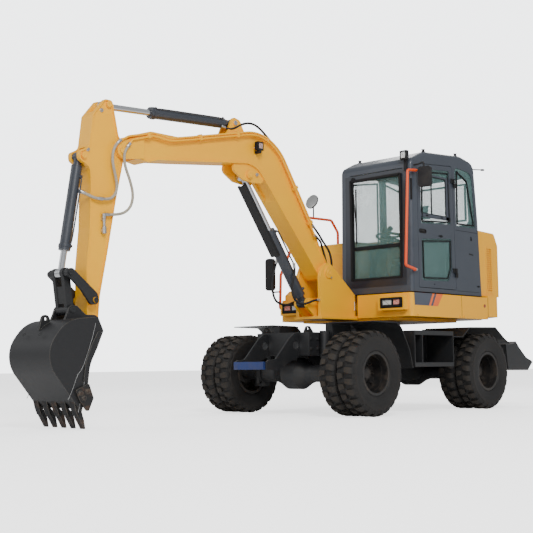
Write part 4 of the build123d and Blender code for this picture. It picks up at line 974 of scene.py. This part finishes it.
# Cab
REAR_LEFT_WINDOW = [(-665, 2080, 30), (-665, 2760, 40), (-1020, 2740, 120), (-1070, 2090, 30)]
UPPER_WINDOW = [(30, 2050, 25), (20, 2655, 30), (-545, 2700, 30), (-555, 2090, 25)]
LOWER_WINDOW = [(25, 1425, 30), (25, 1880, 25), (-560, 1925, 25), (-560, 1590, 30), (-490, 1440, 30)]
RIGHT_FRONT_WINDOW = [(130, 1420, 60), (120, 2640, 60), (-540, 2720, 40), (-540, 1420, 40)]
RIGHT_REAR_WINDOW = [(-620, 1900, 40), (-620, 2720, 40), (-1040, 2700, 80), (-1080, 1900, 40)]
WINDSHIELD = rectangle((35, 855), (1395, 2660), 70)
REAR_WINDOW = rectangle((40, 830), (2150, 2700), 60)
DOOR = [(90, 1345, 20), (90, 2710, 40), (-610, 2765, 40), (-640, 1345, 20)]


def window_gaskets():
    """Rubber round each pane."""
    left_face, right_face = (CAB_LEFT - 12, CAB_LEFT + 3), (CAB_RIGHT - 3, CAB_RIGHT + 12)
    door_face = (CAB_LEFT - 10, CAB_LEFT + 3)
    cab_rows = [
        # outline, axis that it faces, low and high, inside it, outside it, steps of each corner
        (REAR_LEFT_WINDOW, "y", *left_face, 9, 7, 6),
        (RIGHT_FRONT_WINDOW, "y", *right_face, 9, 9, 6),
        (RIGHT_REAR_WINDOW, "y", *right_face, 9, 9, 6),
        (DOOR, "y", CAB_LEFT - 20, CAB_LEFT - 6, 5, -1, 6),
        (WINDSHIELD, "x", 168, 216, 12, 14, 10),
        (REAR_WINDOW, "x", -1136, -1116, 10, 9, 6),
    ]
    door_rows = [(rows, "y", *door_face, 8, 6, 6) for rows in (UPPER_WINDOW, LOWER_WINDOW)]
    for name, body, panes in (("gaskets_cab", "upper", cab_rows), ("gaskets_door", "door", door_rows)):
        shape = Shape()
        for outline, axis, low, high, inside, outside, steps in panes:
            shape.rim_of(rounded(outline, steps), axis, low, high, inside, outside)
        put(name, shape, body, "gasket")


def boxes(name, body, finish, rows):
    """One piece made of boxes; each row is its x, y and z, and its edge radius if it isn't 2."""
    shape = Shape()
    for row in rows:
        shape.box(*row)
    put(name, shape, body, finish)


def door_window_bars():
    """The sliding pane's frame in the upper door window."""
    y = (CAB_LEFT - 12, CAB_LEFT - 1)
    boxes("door_window_frame", "door", "slate", [
        ((-548, 24), y, (2592, 2614)), ((-553, -470), y, (2128, 2594)), ((-553, 26), y, (2126, 2168)),
    ])
    upright, level = (CAB_LEFT - 11, CAB_LEFT + 1), (CAB_LEFT - 11, CAB_LEFT)
    catch = (CAB_LEFT - 4, CAB_LEFT + 6)
    boxes("door_window_slides", "door", "gasket", [
        ((-196, -178), upright, (2166, 2594)), ((-472, -460), upright, (2166, 2594)),
        ((-462, 24), level, (2164, 2174)), ((-462, 24), level, (2586, 2596)),
        ((-108, -72), catch, (2140, 2154)), ((-398, -362), catch, (2140, 2154)),
    ])


def front_plane(z):
    """The x of the cab's front face, which leans back a little."""
    return 212 - 22 * (z - 1290) / 1455


def cab_front():
    """The dark frame round the windshield, its bar and the wiper."""
    opening = rounded(rectangle((37, 853), (1397, 2658), 66), 10)
    edge = rounded(rectangle((CAB_RIGHT + 4, CAB_LEFT - 4), (1300, 2722), 72), 10)
    steps = [(opening, -3), (edge, -3), (edge, 2.5), (opening, 2.5)]
    skin = Shape().loops([[(front_plane(z) + out, y, z) for y, z in ring] for ring, out in steps])
    put("cab_front_skin", skin, "upper", "navy")
    boxes("windshield_bar", "upper", "gasket", [((160, 178), (36, 854), (1800, 1840), 3)])
    wiper = Shape()
    wiper.turned([(0, 0), (26, 0), (26, 30), (18, 38), (0, 38)], (176, 130, 2610), FRONT, 20)
    wiper.tube(route([(206, 130, 2610), (214, 134, 2560), (206, 150, 2300), (196, 158, 2120)]), 6, 8)
    wiper.box((180, 192), (150, 166), (1880, 2500), 2)
    put("wiper", wiper, "upper", "gasket")


def cab_lining():
    """The pale headliner, and a trim panel and a block in black moulding at the cab's rear."""
    lining = Shape()
    roof = [
        # x, z under the roof
        (120, 2650), (40, 2735), (-90, 2795), (-760, 2850), (-1010, 2800), (-1010, 2786), (-760, 2836),
        (-100, 2780), (40, 2718), (108, 2642),
    ]
    lining.prism(roof, "y", -8, 878)
    put("headliner", lining, "upper", "headliner")
    boxes("cab_rear_trim", "upper", "moulded", [
        ((-1146, -1120), (-10, 880), (1350, 2120), 4), ((-1080, -700), (20, 850), (1346, 1760), 10),
    ])


def cab_fittings():
    """Small things on the cab's left side and roof."""
    dark = Shape()
    roof_plug = [(0, -4), (26, -4), (26, 6), (14, 10), (14, 22), (20, 26), (20, 32), (0, 34)]
    for x, z in ((-117, 2866), (-760, 2911)):
        for y in (880, -12):
            dark.turned(roof_plug, (x, y, z), UP, 20)
    stalk = route([(-1078, 850, 2796), (-1110, 858, 2806), (-1200, 862, 2818), (-1352, 862, 2834)])
    dark.tube(stalk, 7, 10)
    dark.turned([(0, 0), (24, 0), (24, 30), (12, 38), (0, 38)], (-1096, 850, 2800), BACK, 20)
    dark.turned([(0, 0), (11, 0), (13, 20), (11, 60), (0, 62)], (-1350, 862, 2833), (-1, 0, 0.12), 16)
    dark.box((180, 194), (CAB_LEFT - 20, CAB_LEFT + 2), (2296, 2530), 2)
    put("cab_dark_fittings", dark, "upper", "gasket")
    steps = Shape()
    oval = rounded([(-940, 2005, 24), (-1000, 2005, 24), (-1006, 1915, 24), (-946, 1915, 24)])
    steps.rim_of(oval, "y", CAB_LEFT - 1, CAB_LEFT + 3, 4, 3)
    steps.prism(grown_by(oval, -6), "y", CAB_LEFT - 0.5, CAB_LEFT + 1.2)
    slot = rounded([(-905, 1800, 12), (-1015, 1790, 12), (-1022, 1752, 12), (-912, 1762, 12)])
    steps.prism(slot, "y", CAB_LEFT - 1, CAB_LEFT + 1.4)
    put("cab_recesses", steps, "upper", "guard")
    lock = Shape()
    lock.turned([(0, 0), (13, 0), (13, 4), (7, 6), (0, 6)], (-973, CAB_LEFT + 1, 1950), LEFT, 20)
    lock.turned([(0, 0), (11, 0), (11, 4), (0, 4)], (-1105, CAB_LEFT, 1410), LEFT, 20)
    lock.box((-1130, -1080), (CAB_LEFT, CAB_LEFT + 8), (1403, 1417), 2)
    put("cab_locks", lock, "upper", "gasket")
    latch = Shape()
    latch.box((-385, -300), (CAB_LEFT, CAB_LEFT + 10), (1930, 1944), 3)
    latch.turned([(0, 0), (15, 0), (15, 8), (0, 10)], (-350, CAB_LEFT, 1937), LEFT, 20)
    latch.turned([(0, 0), (6, 0), (6, 4), (0, 5)], (-203, CAB_LEFT, 1392), LEFT, 12)
    put("door_latch", latch, "door", "gasket")
    # Thin black lines along the cab side's two creases: painted shade of the creases.
    crease = (-1120, -650), (CAB_LEFT - 1, CAB_LEFT + 1.5)
    boxes("cab_crease_shade_lines", "upper", "gasket", [(*crease, (z - 2, z + 2), 0.7) for z in (1340, 2036)])
    rail_bolts = [((120, CAB_LEFT + 38, 2620), LEFT), ((180, CAB_LEFT + 38, 1530), LEFT)]
    bolts("rail_bolts", "upper", rail_bolts, 16, 7)


def hinge_bolts():
    """The door's two hinges: bolts, and a leaf on the door and one on the pillar for each."""
    places = [(-570, CAB_LEFT + 12, z) for z in (1556, 1574, 2584, 2602)]
    bolts("door_hinge_bolts", "door", bolt_rows(places, LEFT), 11, 5, "gasket")
    for body, span, side in (("upper", (-50, 0), (-662, -624)), ("door", (0, 50), (-624, -560))):
        leaf = Shape()
        for z in (1540, 2567):
            height = (z + span[0] + 0.5, z + span[1] - 0.5)
            leaf.box(side, (CAB_LEFT + 10, CAB_LEFT + 14), height, 1)
            leaf.turned([(0, 0), (13, 0), (13, 49), (0, 49)], (-624, CAB_LEFT + 16, height[0]), UP, 20)
        put(f"hinge_cover_{body}", leaf, body, "gasket")


def both_sides(low, high):
    """A span of y on the left, and the same on the right."""
    return (low, high), (-high, -low)


def lamps():
    """Frames and lenses of the headlamps, and of the lamps on the boom and the cab."""
    shape = Shape()
    for y, split in zip(both_sides(574, 872), both_sides(728, 738)):
        shape.rim_of(rounded(rectangle(y, (1124, 1246), 22)), "x", 312, 336, 14, 10)
        shape.box((312, 326), split, (1130, 1240), 2)
    put("headlamp_frames", shape, "upper", "gasket")
    for name, span in (("clear", (586, 728)), ("amber", (738, 860))):
        shape = Shape()
        for y in both_sides(*span):
            shape.prism(rounded(rectangle(y, (1134, 1236), 10)), "x", 314, 324, 4)
        put(f"headlamp_{name}", shape, "upper", f"{name}_lens")
    boom = Shape()
    boom.prism(rounded(rectangle((126, 168), (2724, 2806), 8)), "x", 1796, 1800, 1)
    boom.rim_of(rounded(rectangle((124, 170), (2721, 2809), 10)), "x", 1786, 1804, 3, 3)
    put("boom_lamp_frame", boom, "boom", "gasket")
    face = Shape().prism(rounded(rectangle((1717, 1789), (2728, 2802), 10)), "y", 168, 174, 3)
    put("boom_lamp_lens", face, "boom", "rose_lens")
    cab = Shape().prism(rounded(rectangle((828, 900), (2743, 2827), 10)), "x", 244, 250, 3)
    put("cab_lamp_lens", cab, "upper", "clear_lens")
    fins = Shape(local=True)
    fins.box((-5, 5), (-36, 36), (-1.5, 1.5), 0)
    ribs = grown(fins.made("fin"), copies, Count=6, Step=(0, 0, 0.014), Material=finishes["moulded"])
    place = Matrix.Translation(spot(198, 864, 2750))
    put("cab_lamp_fins", joined("cab_lamp_fins", [(ribs, place)]), "upper", "moulded")


# Marks without words: the stripes and the plugs
def marks():
    low, high = 1150, 1285
    stripes = [
        # finish, x at the top and the bottom of one edge, then of the other
        ("decal_dark", (227, 218), (-120, -47)),
        ("decal_orange", (-120, -47), (-158, -85)),
        ("decal_dark", (-158, -85), (-197, -123)),
        ("decal_orange", (-197, -123), (-323, -219)),
    ]
    for i, (finish, one, two) in enumerate(stripes):
        corners = [(one[0], high), (one[1], low), (two[1], low), (two[0], high)]
        put(f"stripe_{i + 1}", Shape().on_sides(corners, SKIRT_Y, SKIRT_Y + 0.7), "upper", finish)
    plug = [(0, 0), (20, 0), (20, 5), (15, 7), (0, 7)]
    put("skirt_plugs", Shape().turned_on_sides(plug, (-1185, SKIRT_Y, 1186)), "upper", "plug")


# Bucket
TEETH = 5
TOOTH_PITCH = 131.5


def bucket_details():
    """Weld beads, side strips, tooth adapters, the cutters' bolts and rims round the shell's holes."""
    px, pz = BUCKET_PIN
    edge = [(90, -96), (148, -226), (223, -368), (242, -520), (306, -766)]
    seam = [(135, -24), (142, -79), (261, -410), (315, -450), (358, -571), (406, -658)]
    beads = Shape()
    for y in (301, -301):
        for rows, steps in ((edge, 8), (seam, 25)):
            beads.tube(route([(px + x, y, pz + z) for x, z in rows], steps), 2.5, 8)
    put("bucket_welds", beads, "bucket", "weld")
    strip = [
        (64, -84), (122, -90), (178, -220), (246, -352), (266, -516), (214, -522), (194, -370), (118, -228),
    ]
    face = rounded([(px + x, pz + z, 8) for x, z in strip])
    put("bucket_side_strips", Shape().on_sides(face, 300, 310, 2), "bucket", "bucket")
    adapter = [(345, -640), (362, -652), (340, -742), (312, -806), (286, -806), (300, -740)]
    roof = rounded([(px + x, pz + z, 10) for x, z in adapter])
    adapters = Shape()
    for i in range(TEETH):
        y = (i - (TEETH - 1) / 2) * TOOTH_PITCH
        adapters.prism(roof, "y", y - 36, y + 36, 4)
    put("tooth_adapters", adapters, "bucket", "tooth")
    cutter_rows = [(px + x, 322, pz + z) for x, z in ((226, -596), (262, -650), (296, -610))]
    bolts("cutter_bolts", "bucket", on_both(cutter_rows), 30, 12, "tooth")
    holes = Shape()
    for y in (-120, 120):
        holes.turned([(12, 0), (20, 0), (20, 2), (12, 2)], (px + 560, y, pz - 118), (0.72, 0, 0.7), 20)
    put("bucket_hole_rims", holes, "bucket", "guard")


# Upper structure
def upper_details():
    """The front post, the skirts' seams and bolts, the exhaust and the hood's latches."""
    post = Shape().turned([(0, 0), (7, 0), (7, 84), (9, 86), (9, 92), (0, 94)], (272, 180, 1126), UP, 14)
    post.turned([(0, 0), (12, 0), (12, 5), (0, 5)], (272, 180, 1122), UP, 14)
    put("front_post", post, "upper", "chrome")
    seams = Shape()
    for y in both_sides(SKIRT_Y - 1, SKIRT_Y + 1):
        seams.box((-1262, -1258), y, (1062, 1284), 0.5)
        seams.box((-700, -697), y, (1032, 1284), 0.5)
    put("skirt_seams", seams, "upper", "gasket")
    places = [(x, SKIRT_Y, 1052) for x in (-1230, -740, -660, 160)]
    bolts("skirt_bolts", "upper", on_both(places), 20, 8, "yellow")
    roof = [(x, y, 1997) for x in (-1150, -320) for y in (-900, -320)]
    bolts("right_hood_bolts", "upper", bolt_rows(roof, UP), 20, 8)
    pipe = Shape()
    outlet = route([(-1420, -600, 2060), (-1420, -600, 2160), (-1430, -600, 2230), (-1490, -600, 2290)])
    pipe.tube(outlet, 34, 20)
    pipe.turned([(36, 0), (58, 0), (58, 10), (36, 12)], (-1420, -600, 2070), UP, 24)
    put("exhaust_pipe", pipe, "upper", "moulded")
    latches = Shape()
    for y in both_sides(560, 620):
        latches.box((-1646, -1636), y, (1560, 1590), 4)
        latches.turned([(0, 0), (11, 0), (11, 6), (0, 7)], (-1640, sum(y) / 2, 1640), BACK, 16)
    put("hood_latches", latches, "upper", "moulded")


def chassis_details():
    """Bolts on the frame's ends and under the slew ring."""
    plates = [(x, 370, z) for x in (1140, 1240, -1290, -1160) for z in (690, 790)]
    bolts("frame_bolts", "chassis", on_both(plates), 26, 12, "black")
    ring_radius, ring_bolts = 350, 28
    bolt = Shape(local=True).turned([(0, 0), (10, 0), (10, 12), (0, 12)], (ring_radius, 0, 0), UP, 6)
    turn = (0, 0, 2 * math.pi / ring_bolts)
    heads = grown(bolt.made("slew_bolt"), copies, Count=ring_bolts, Turn=turn, Material=finishes["black"])
    ring_place = Matrix.Translation(spot(-100, 0, 862))
    put("slew_bolts", joined("slew_bolts", [(heads, ring_place)]), "chassis", "black")


# Hoses of the boom's cylinder and the arm's, and those down to the deck, with the places of two clamps
UPPER_CLAMP = (1211, 60, 2534)
LAST_CLAMP = (872, 60, 2000)


def cylinder_hoses():
    """Hoses of the boom's cylinder and of the arm's."""
    left_port = along_cylinder(BOOM_CYLINDER, 456, 50, 76)
    right_port = (1256, -84, 1636)
    arm_port = (2188, 50, 2915)
    lay_hoses([
        ("hose_boom_left", ("boom_cylinder_barrel", "upper"), (left_port, (900, 155, 1210)), [
            left_port, (1145, 80, 1502), (1207, 90, 1400), (1222, 95, 1301), (1197, 100, 1216),
            (1112, 110, 1159), (1003, 130, 1178), (942, 150, 1207), (887, 160, 1214), (862, 157, 1214),
        ]),
        ("hose_boom_right", ("boom_cylinder_barrel", "upper"), (right_port, (900, -155, 1210)), [
            right_port, (1273, -112, 1526), (1299, -118, 1393), (1293, -116, 1285), (1252, -112, 1199),
            (1168, -112, 1172), (1060, -124, 1165), (950, -145, 1195), (887, -160, 1214), (862, -157, 1214),
        ]),
        ("hose_arm_cylinder", ("arm_cylinder_barrel", "boom"), (arm_port, (1941, 62, 2972)), [
            arm_port, (2112, 64, 2896), (2035, 66, 2916), (1941, 62, 2972), (1830, 60, 3010),
            (1734, 60, 3010), (1653, 60, 2980), (1575, 60, 2929), (1383, 60, 2793), (1321, 60, 2706),
            (1274, 60, 2648), UPPER_CLAMP, (1083, 60, 2369), (920, 60, 2143), LAST_CLAMP,
        ]),
    ])


def arm_hose_clamps():
    """Two turned clamps that stand across the boom's back."""
    clamps = Shape()
    across_boom = (0.833, 0, -0.553)
    profile = [(0, -16), (19, -16), (19, 16), (9, 18), (9, 32), (0, 32)]
    for place in (LAST_CLAMP, UPPER_CLAMP):
        clamps.turned(profile, place, across_boom, 16)
    put("arm_hose_clamps", clamps, "boom", "zinc")


def deck_hoses():
    """Hoses from the boom's foot down into the deck; the third goes on from the last clamp."""
    lay_hoses([
        ("hose_deck_1", ("boom", "upper"), ((860, 128, 1980), (560, 94, 1640)), [
            (918, 130, 2024), (820, 126, 1950), (728, 110, 1872), (610, 100, 1778), (566, 96, 1689),
            (554, 92, 1587), (548, 90, 1400), (530, 90, 1200), (520, 90, 1060),
        ]),
        ("hose_deck_2", ("boom", "upper"), ((840, 128, 1895), (585, 40, 1640)), [
            (878, 130, 1915), (780, 124, 1872), (678, 60, 1809), (600, 40, 1689), (579, 40, 1599),
            (570, 40, 1400), (560, 40, 1200), (540, 40, 1062),
        ]),
        ("hose_deck_3", ("boom", "upper"), ((830, 56, 1962), (605, -10, 1640)), [
            LAST_CLAMP, (760, 50, 1900), (655, 10, 1756), (612, -10, 1656), (594, -15, 1500),
            (580, -15, 1200), (560, -20, 1062),
        ]),
    ])


def mirror_faces():
    """Glass on the two big mirrors, and the round mirror's back."""
    glass = Shape(local=True).prism(rounded(rectangle((12, 138), (12, 208), 22)), "x", -1.2, 0)
    turn = Matrix.Rotation(math.radians(LEFT_MIRROR_TURN), 4, "Z")
    place = Matrix.Translation(spot(104, MIRROR_LEFT_Y, 2430)) @ turn
    put("left_mirror_glass", joined("left_mirror_glass", [(glass.made("glass"), place)]), "upper", "mirror")
    right = Shape().prism(rounded(rectangle((-1118, -1012), (1424, 1781), 28)), "x", 294.8, 296)
    put("right_mirror_glass", right, "upper", "mirror")
    tilt = math.radians(70)
    ahead = (math.sin(tilt), 0, math.cos(tilt))
    disc = Shape().turned([(0, 7.9), (91, 7.9), (91, 9.5), (60, 15), (0, 18)], (-305, -925, 2542), ahead, 40)
    put("round_mirror_back", disc, "upper", "zinc")


# Seat: stuffed cushions in the space of the CAD seat
def cushion(name, x, y, z, corner, swell, seams):
    """A block a little smaller than its space, blown up as cloth and held within it."""
    inset, pressure, last_frame = 12, 4, 20
    spans = [(low + inset, high - inset) for low, high in (x, y, z)]
    start = Shape().box(*spans, corner).made(name)
    pad = bpy.data.objects.new(name, start)
    bpy.context.scene.collection.objects.link(pad)
    remesh = pad.modifiers.new("even", "REMESH")
    remesh.mode = "VOXEL"
    remesh.voxel_size = 6 * MM
    pad.data = evaluated_mesh(pad)
    pad.modifiers.clear()
    at_rest = [vertex.co.copy() for vertex in pad.data.vertices]
    blown = pad.modifiers.new("blown", "CLOTH").settings
    blown.use_pressure = True
    blown.uniform_pressure_force = pressure
    blown.effector_weights.gravity = 0
    for number in range(1, last_frame + 1):
        bpy.context.scene.frame_set(number)
    view = bpy.context.evaluated_depsgraph_get()
    moved = [vertex.co.copy() for vertex in pad.evaluated_get(view).data.vertices]
    pad.modifiers.clear()
    bpy.context.scene.frame_set(1)
    low, high = spot(x[0], y[0], z[0]), spot(x[1], y[1], z[1])
    for vertex, rest, place in zip(pad.data.vertices, at_rest, moved):
        shift = place - rest
        if shift.length > swell * MM:
            shift *= swell * MM / shift.length
        vertex.co = [min(max(value, a), b) for value, a, b in zip(rest + shift, low, high)]
    groove, reach = 7 * MM, 14 * MM
    centre = spot(sum(x) / 2, sum(y) / 2, sum(z) / 2)
    for axis, value in seams:
        line = spot(value, value, value)[axis]
        for vertex in pad.data.vertices:
            away = abs(vertex.co[axis] - line) / reach
            if away < 1:
                vertex.co += (centre - vertex.co).normalized() * groove * (1 - away) ** 2
    smooth = pad.modifiers.new("smooth", "SUBSURF")
    smooth.levels = 1
    mesh = evaluated_mesh(pad)
    bpy.data.objects.remove(pad)
    mesh.shade_smooth()
    return mesh


def seat_cushions():
    """The seat's cushion, back and headrest, each kept within the CAD's block."""
    rows = [
        # name, x, y, z, corner, swell, seams as axis number and place
        ("seat_cushion", (-700, -250), (200, 680), (1640, 1740), 34, 24, [(1, 300), (1, 580), (0, -420)]),
        ("seat_back", (-760, -650), (210, 670), (1742, 2200), 36, 22, [(1, 310), (1, 570), (2, 1900)]),
        ("seat_headrest", (-745, -665), (310, 570), (2202, 2380), 30, 22, [(2, 2290)]),
    ]
    for i, (name, x, y, z, corner, swell, seams) in enumerate(rows):
        piece = put(name, cushion(name, x, y, z, corner, swell, seams), "upper", "cloth")
        if i == 0:
            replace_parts(piece, "seat")


dress_wheels()
pin_caps()
keepers()
boom_hoses()
cylinder_hoses()
arm_hose_clamps()
deck_hoses()
tool_pipes()
cylinder_rings()
window_gaskets()
door_window_bars()
cab_front()
cab_lining()
cab_fittings()
hinge_bolts()
lamps()
marks()
bucket_details()
upper_details()
chassis_details()
mirror_faces()
seat_cushions()


def set_stage():
    """A pale floor and soft studio light."""
    pale = Finish("floor_pale", Roughness=0.9, Emission_Strength=1.6)
    to_camera = pale.node("ShaderNodeLightPath", out="Is Camera Ray")
    pale.vary(Emission_Color=pale.mix(to_camera, (0, 0, 0), (255, 255, 255)))
    pale.vary(Base_Color=pale.mix(pale.noise(0.6), (244, 244, 244), (248, 248, 248)))
    mesh = bpy.data.meshes.new("floor")
    reach = 60
    corners = [(-reach, -reach, 0), (reach, -reach, 0), (reach, reach, 0), (-reach, reach, 0)]
    mesh.from_pydata(corners, [], [(0, 1, 2, 3)])
    mesh.materials.append(pale.material)
    floor = bpy.data.objects.new("floor", mesh)
    bpy.context.scene.collection.objects.link(floor)
    lamp_rows = [
        # name, place, size, power
        ("key", (7, 9, 9), 4.0, 1150),
        ("fill", (9, -6, 6), 6.0, 120),
        ("rim", (-8, -3, 8), 5.0, 300),
        ("low", (10, 6, 1.2), 4.0, 90),
    ]
    aim = Vector((0, 0, 1.2))
    for name, place, size, power in lamp_rows:
        light = bpy.data.lights.new(name, "AREA")
        light.shape = "DISK"
        light.size = size
        light.energy = power
        lamp = bpy.data.objects.new(name, light)
        lamp.location = place
        lamp.rotation_euler = (aim - lamp.location).to_track_quat("-Z", "Y").to_euler()
        bpy.context.scene.collection.objects.link(lamp)
    world = bpy.data.worlds.new("studio")
    world.use_nodes = True
    sky = world.node_tree.nodes["Background"]
    light_on_machine, background = 0.58, 4.0
    sky.inputs["Color"].default_value = (0.96, 0.98, 1.0, 1)
    seen = world.node_tree.nodes.new("ShaderNodeLightPath")
    strength = world.node_tree.nodes.new("ShaderNodeMapRange")
    strength.inputs["To Min"].default_value = light_on_machine
    strength.inputs["To Max"].default_value = background
    world.node_tree.links.new(seen.outputs["Is Camera Ray"], strength.inputs["Value"])
    world.node_tree.links.new(strength.outputs["Result"], sky.inputs["Strength"])
    bpy.context.scene.world = world


set_camera()
set_stage()
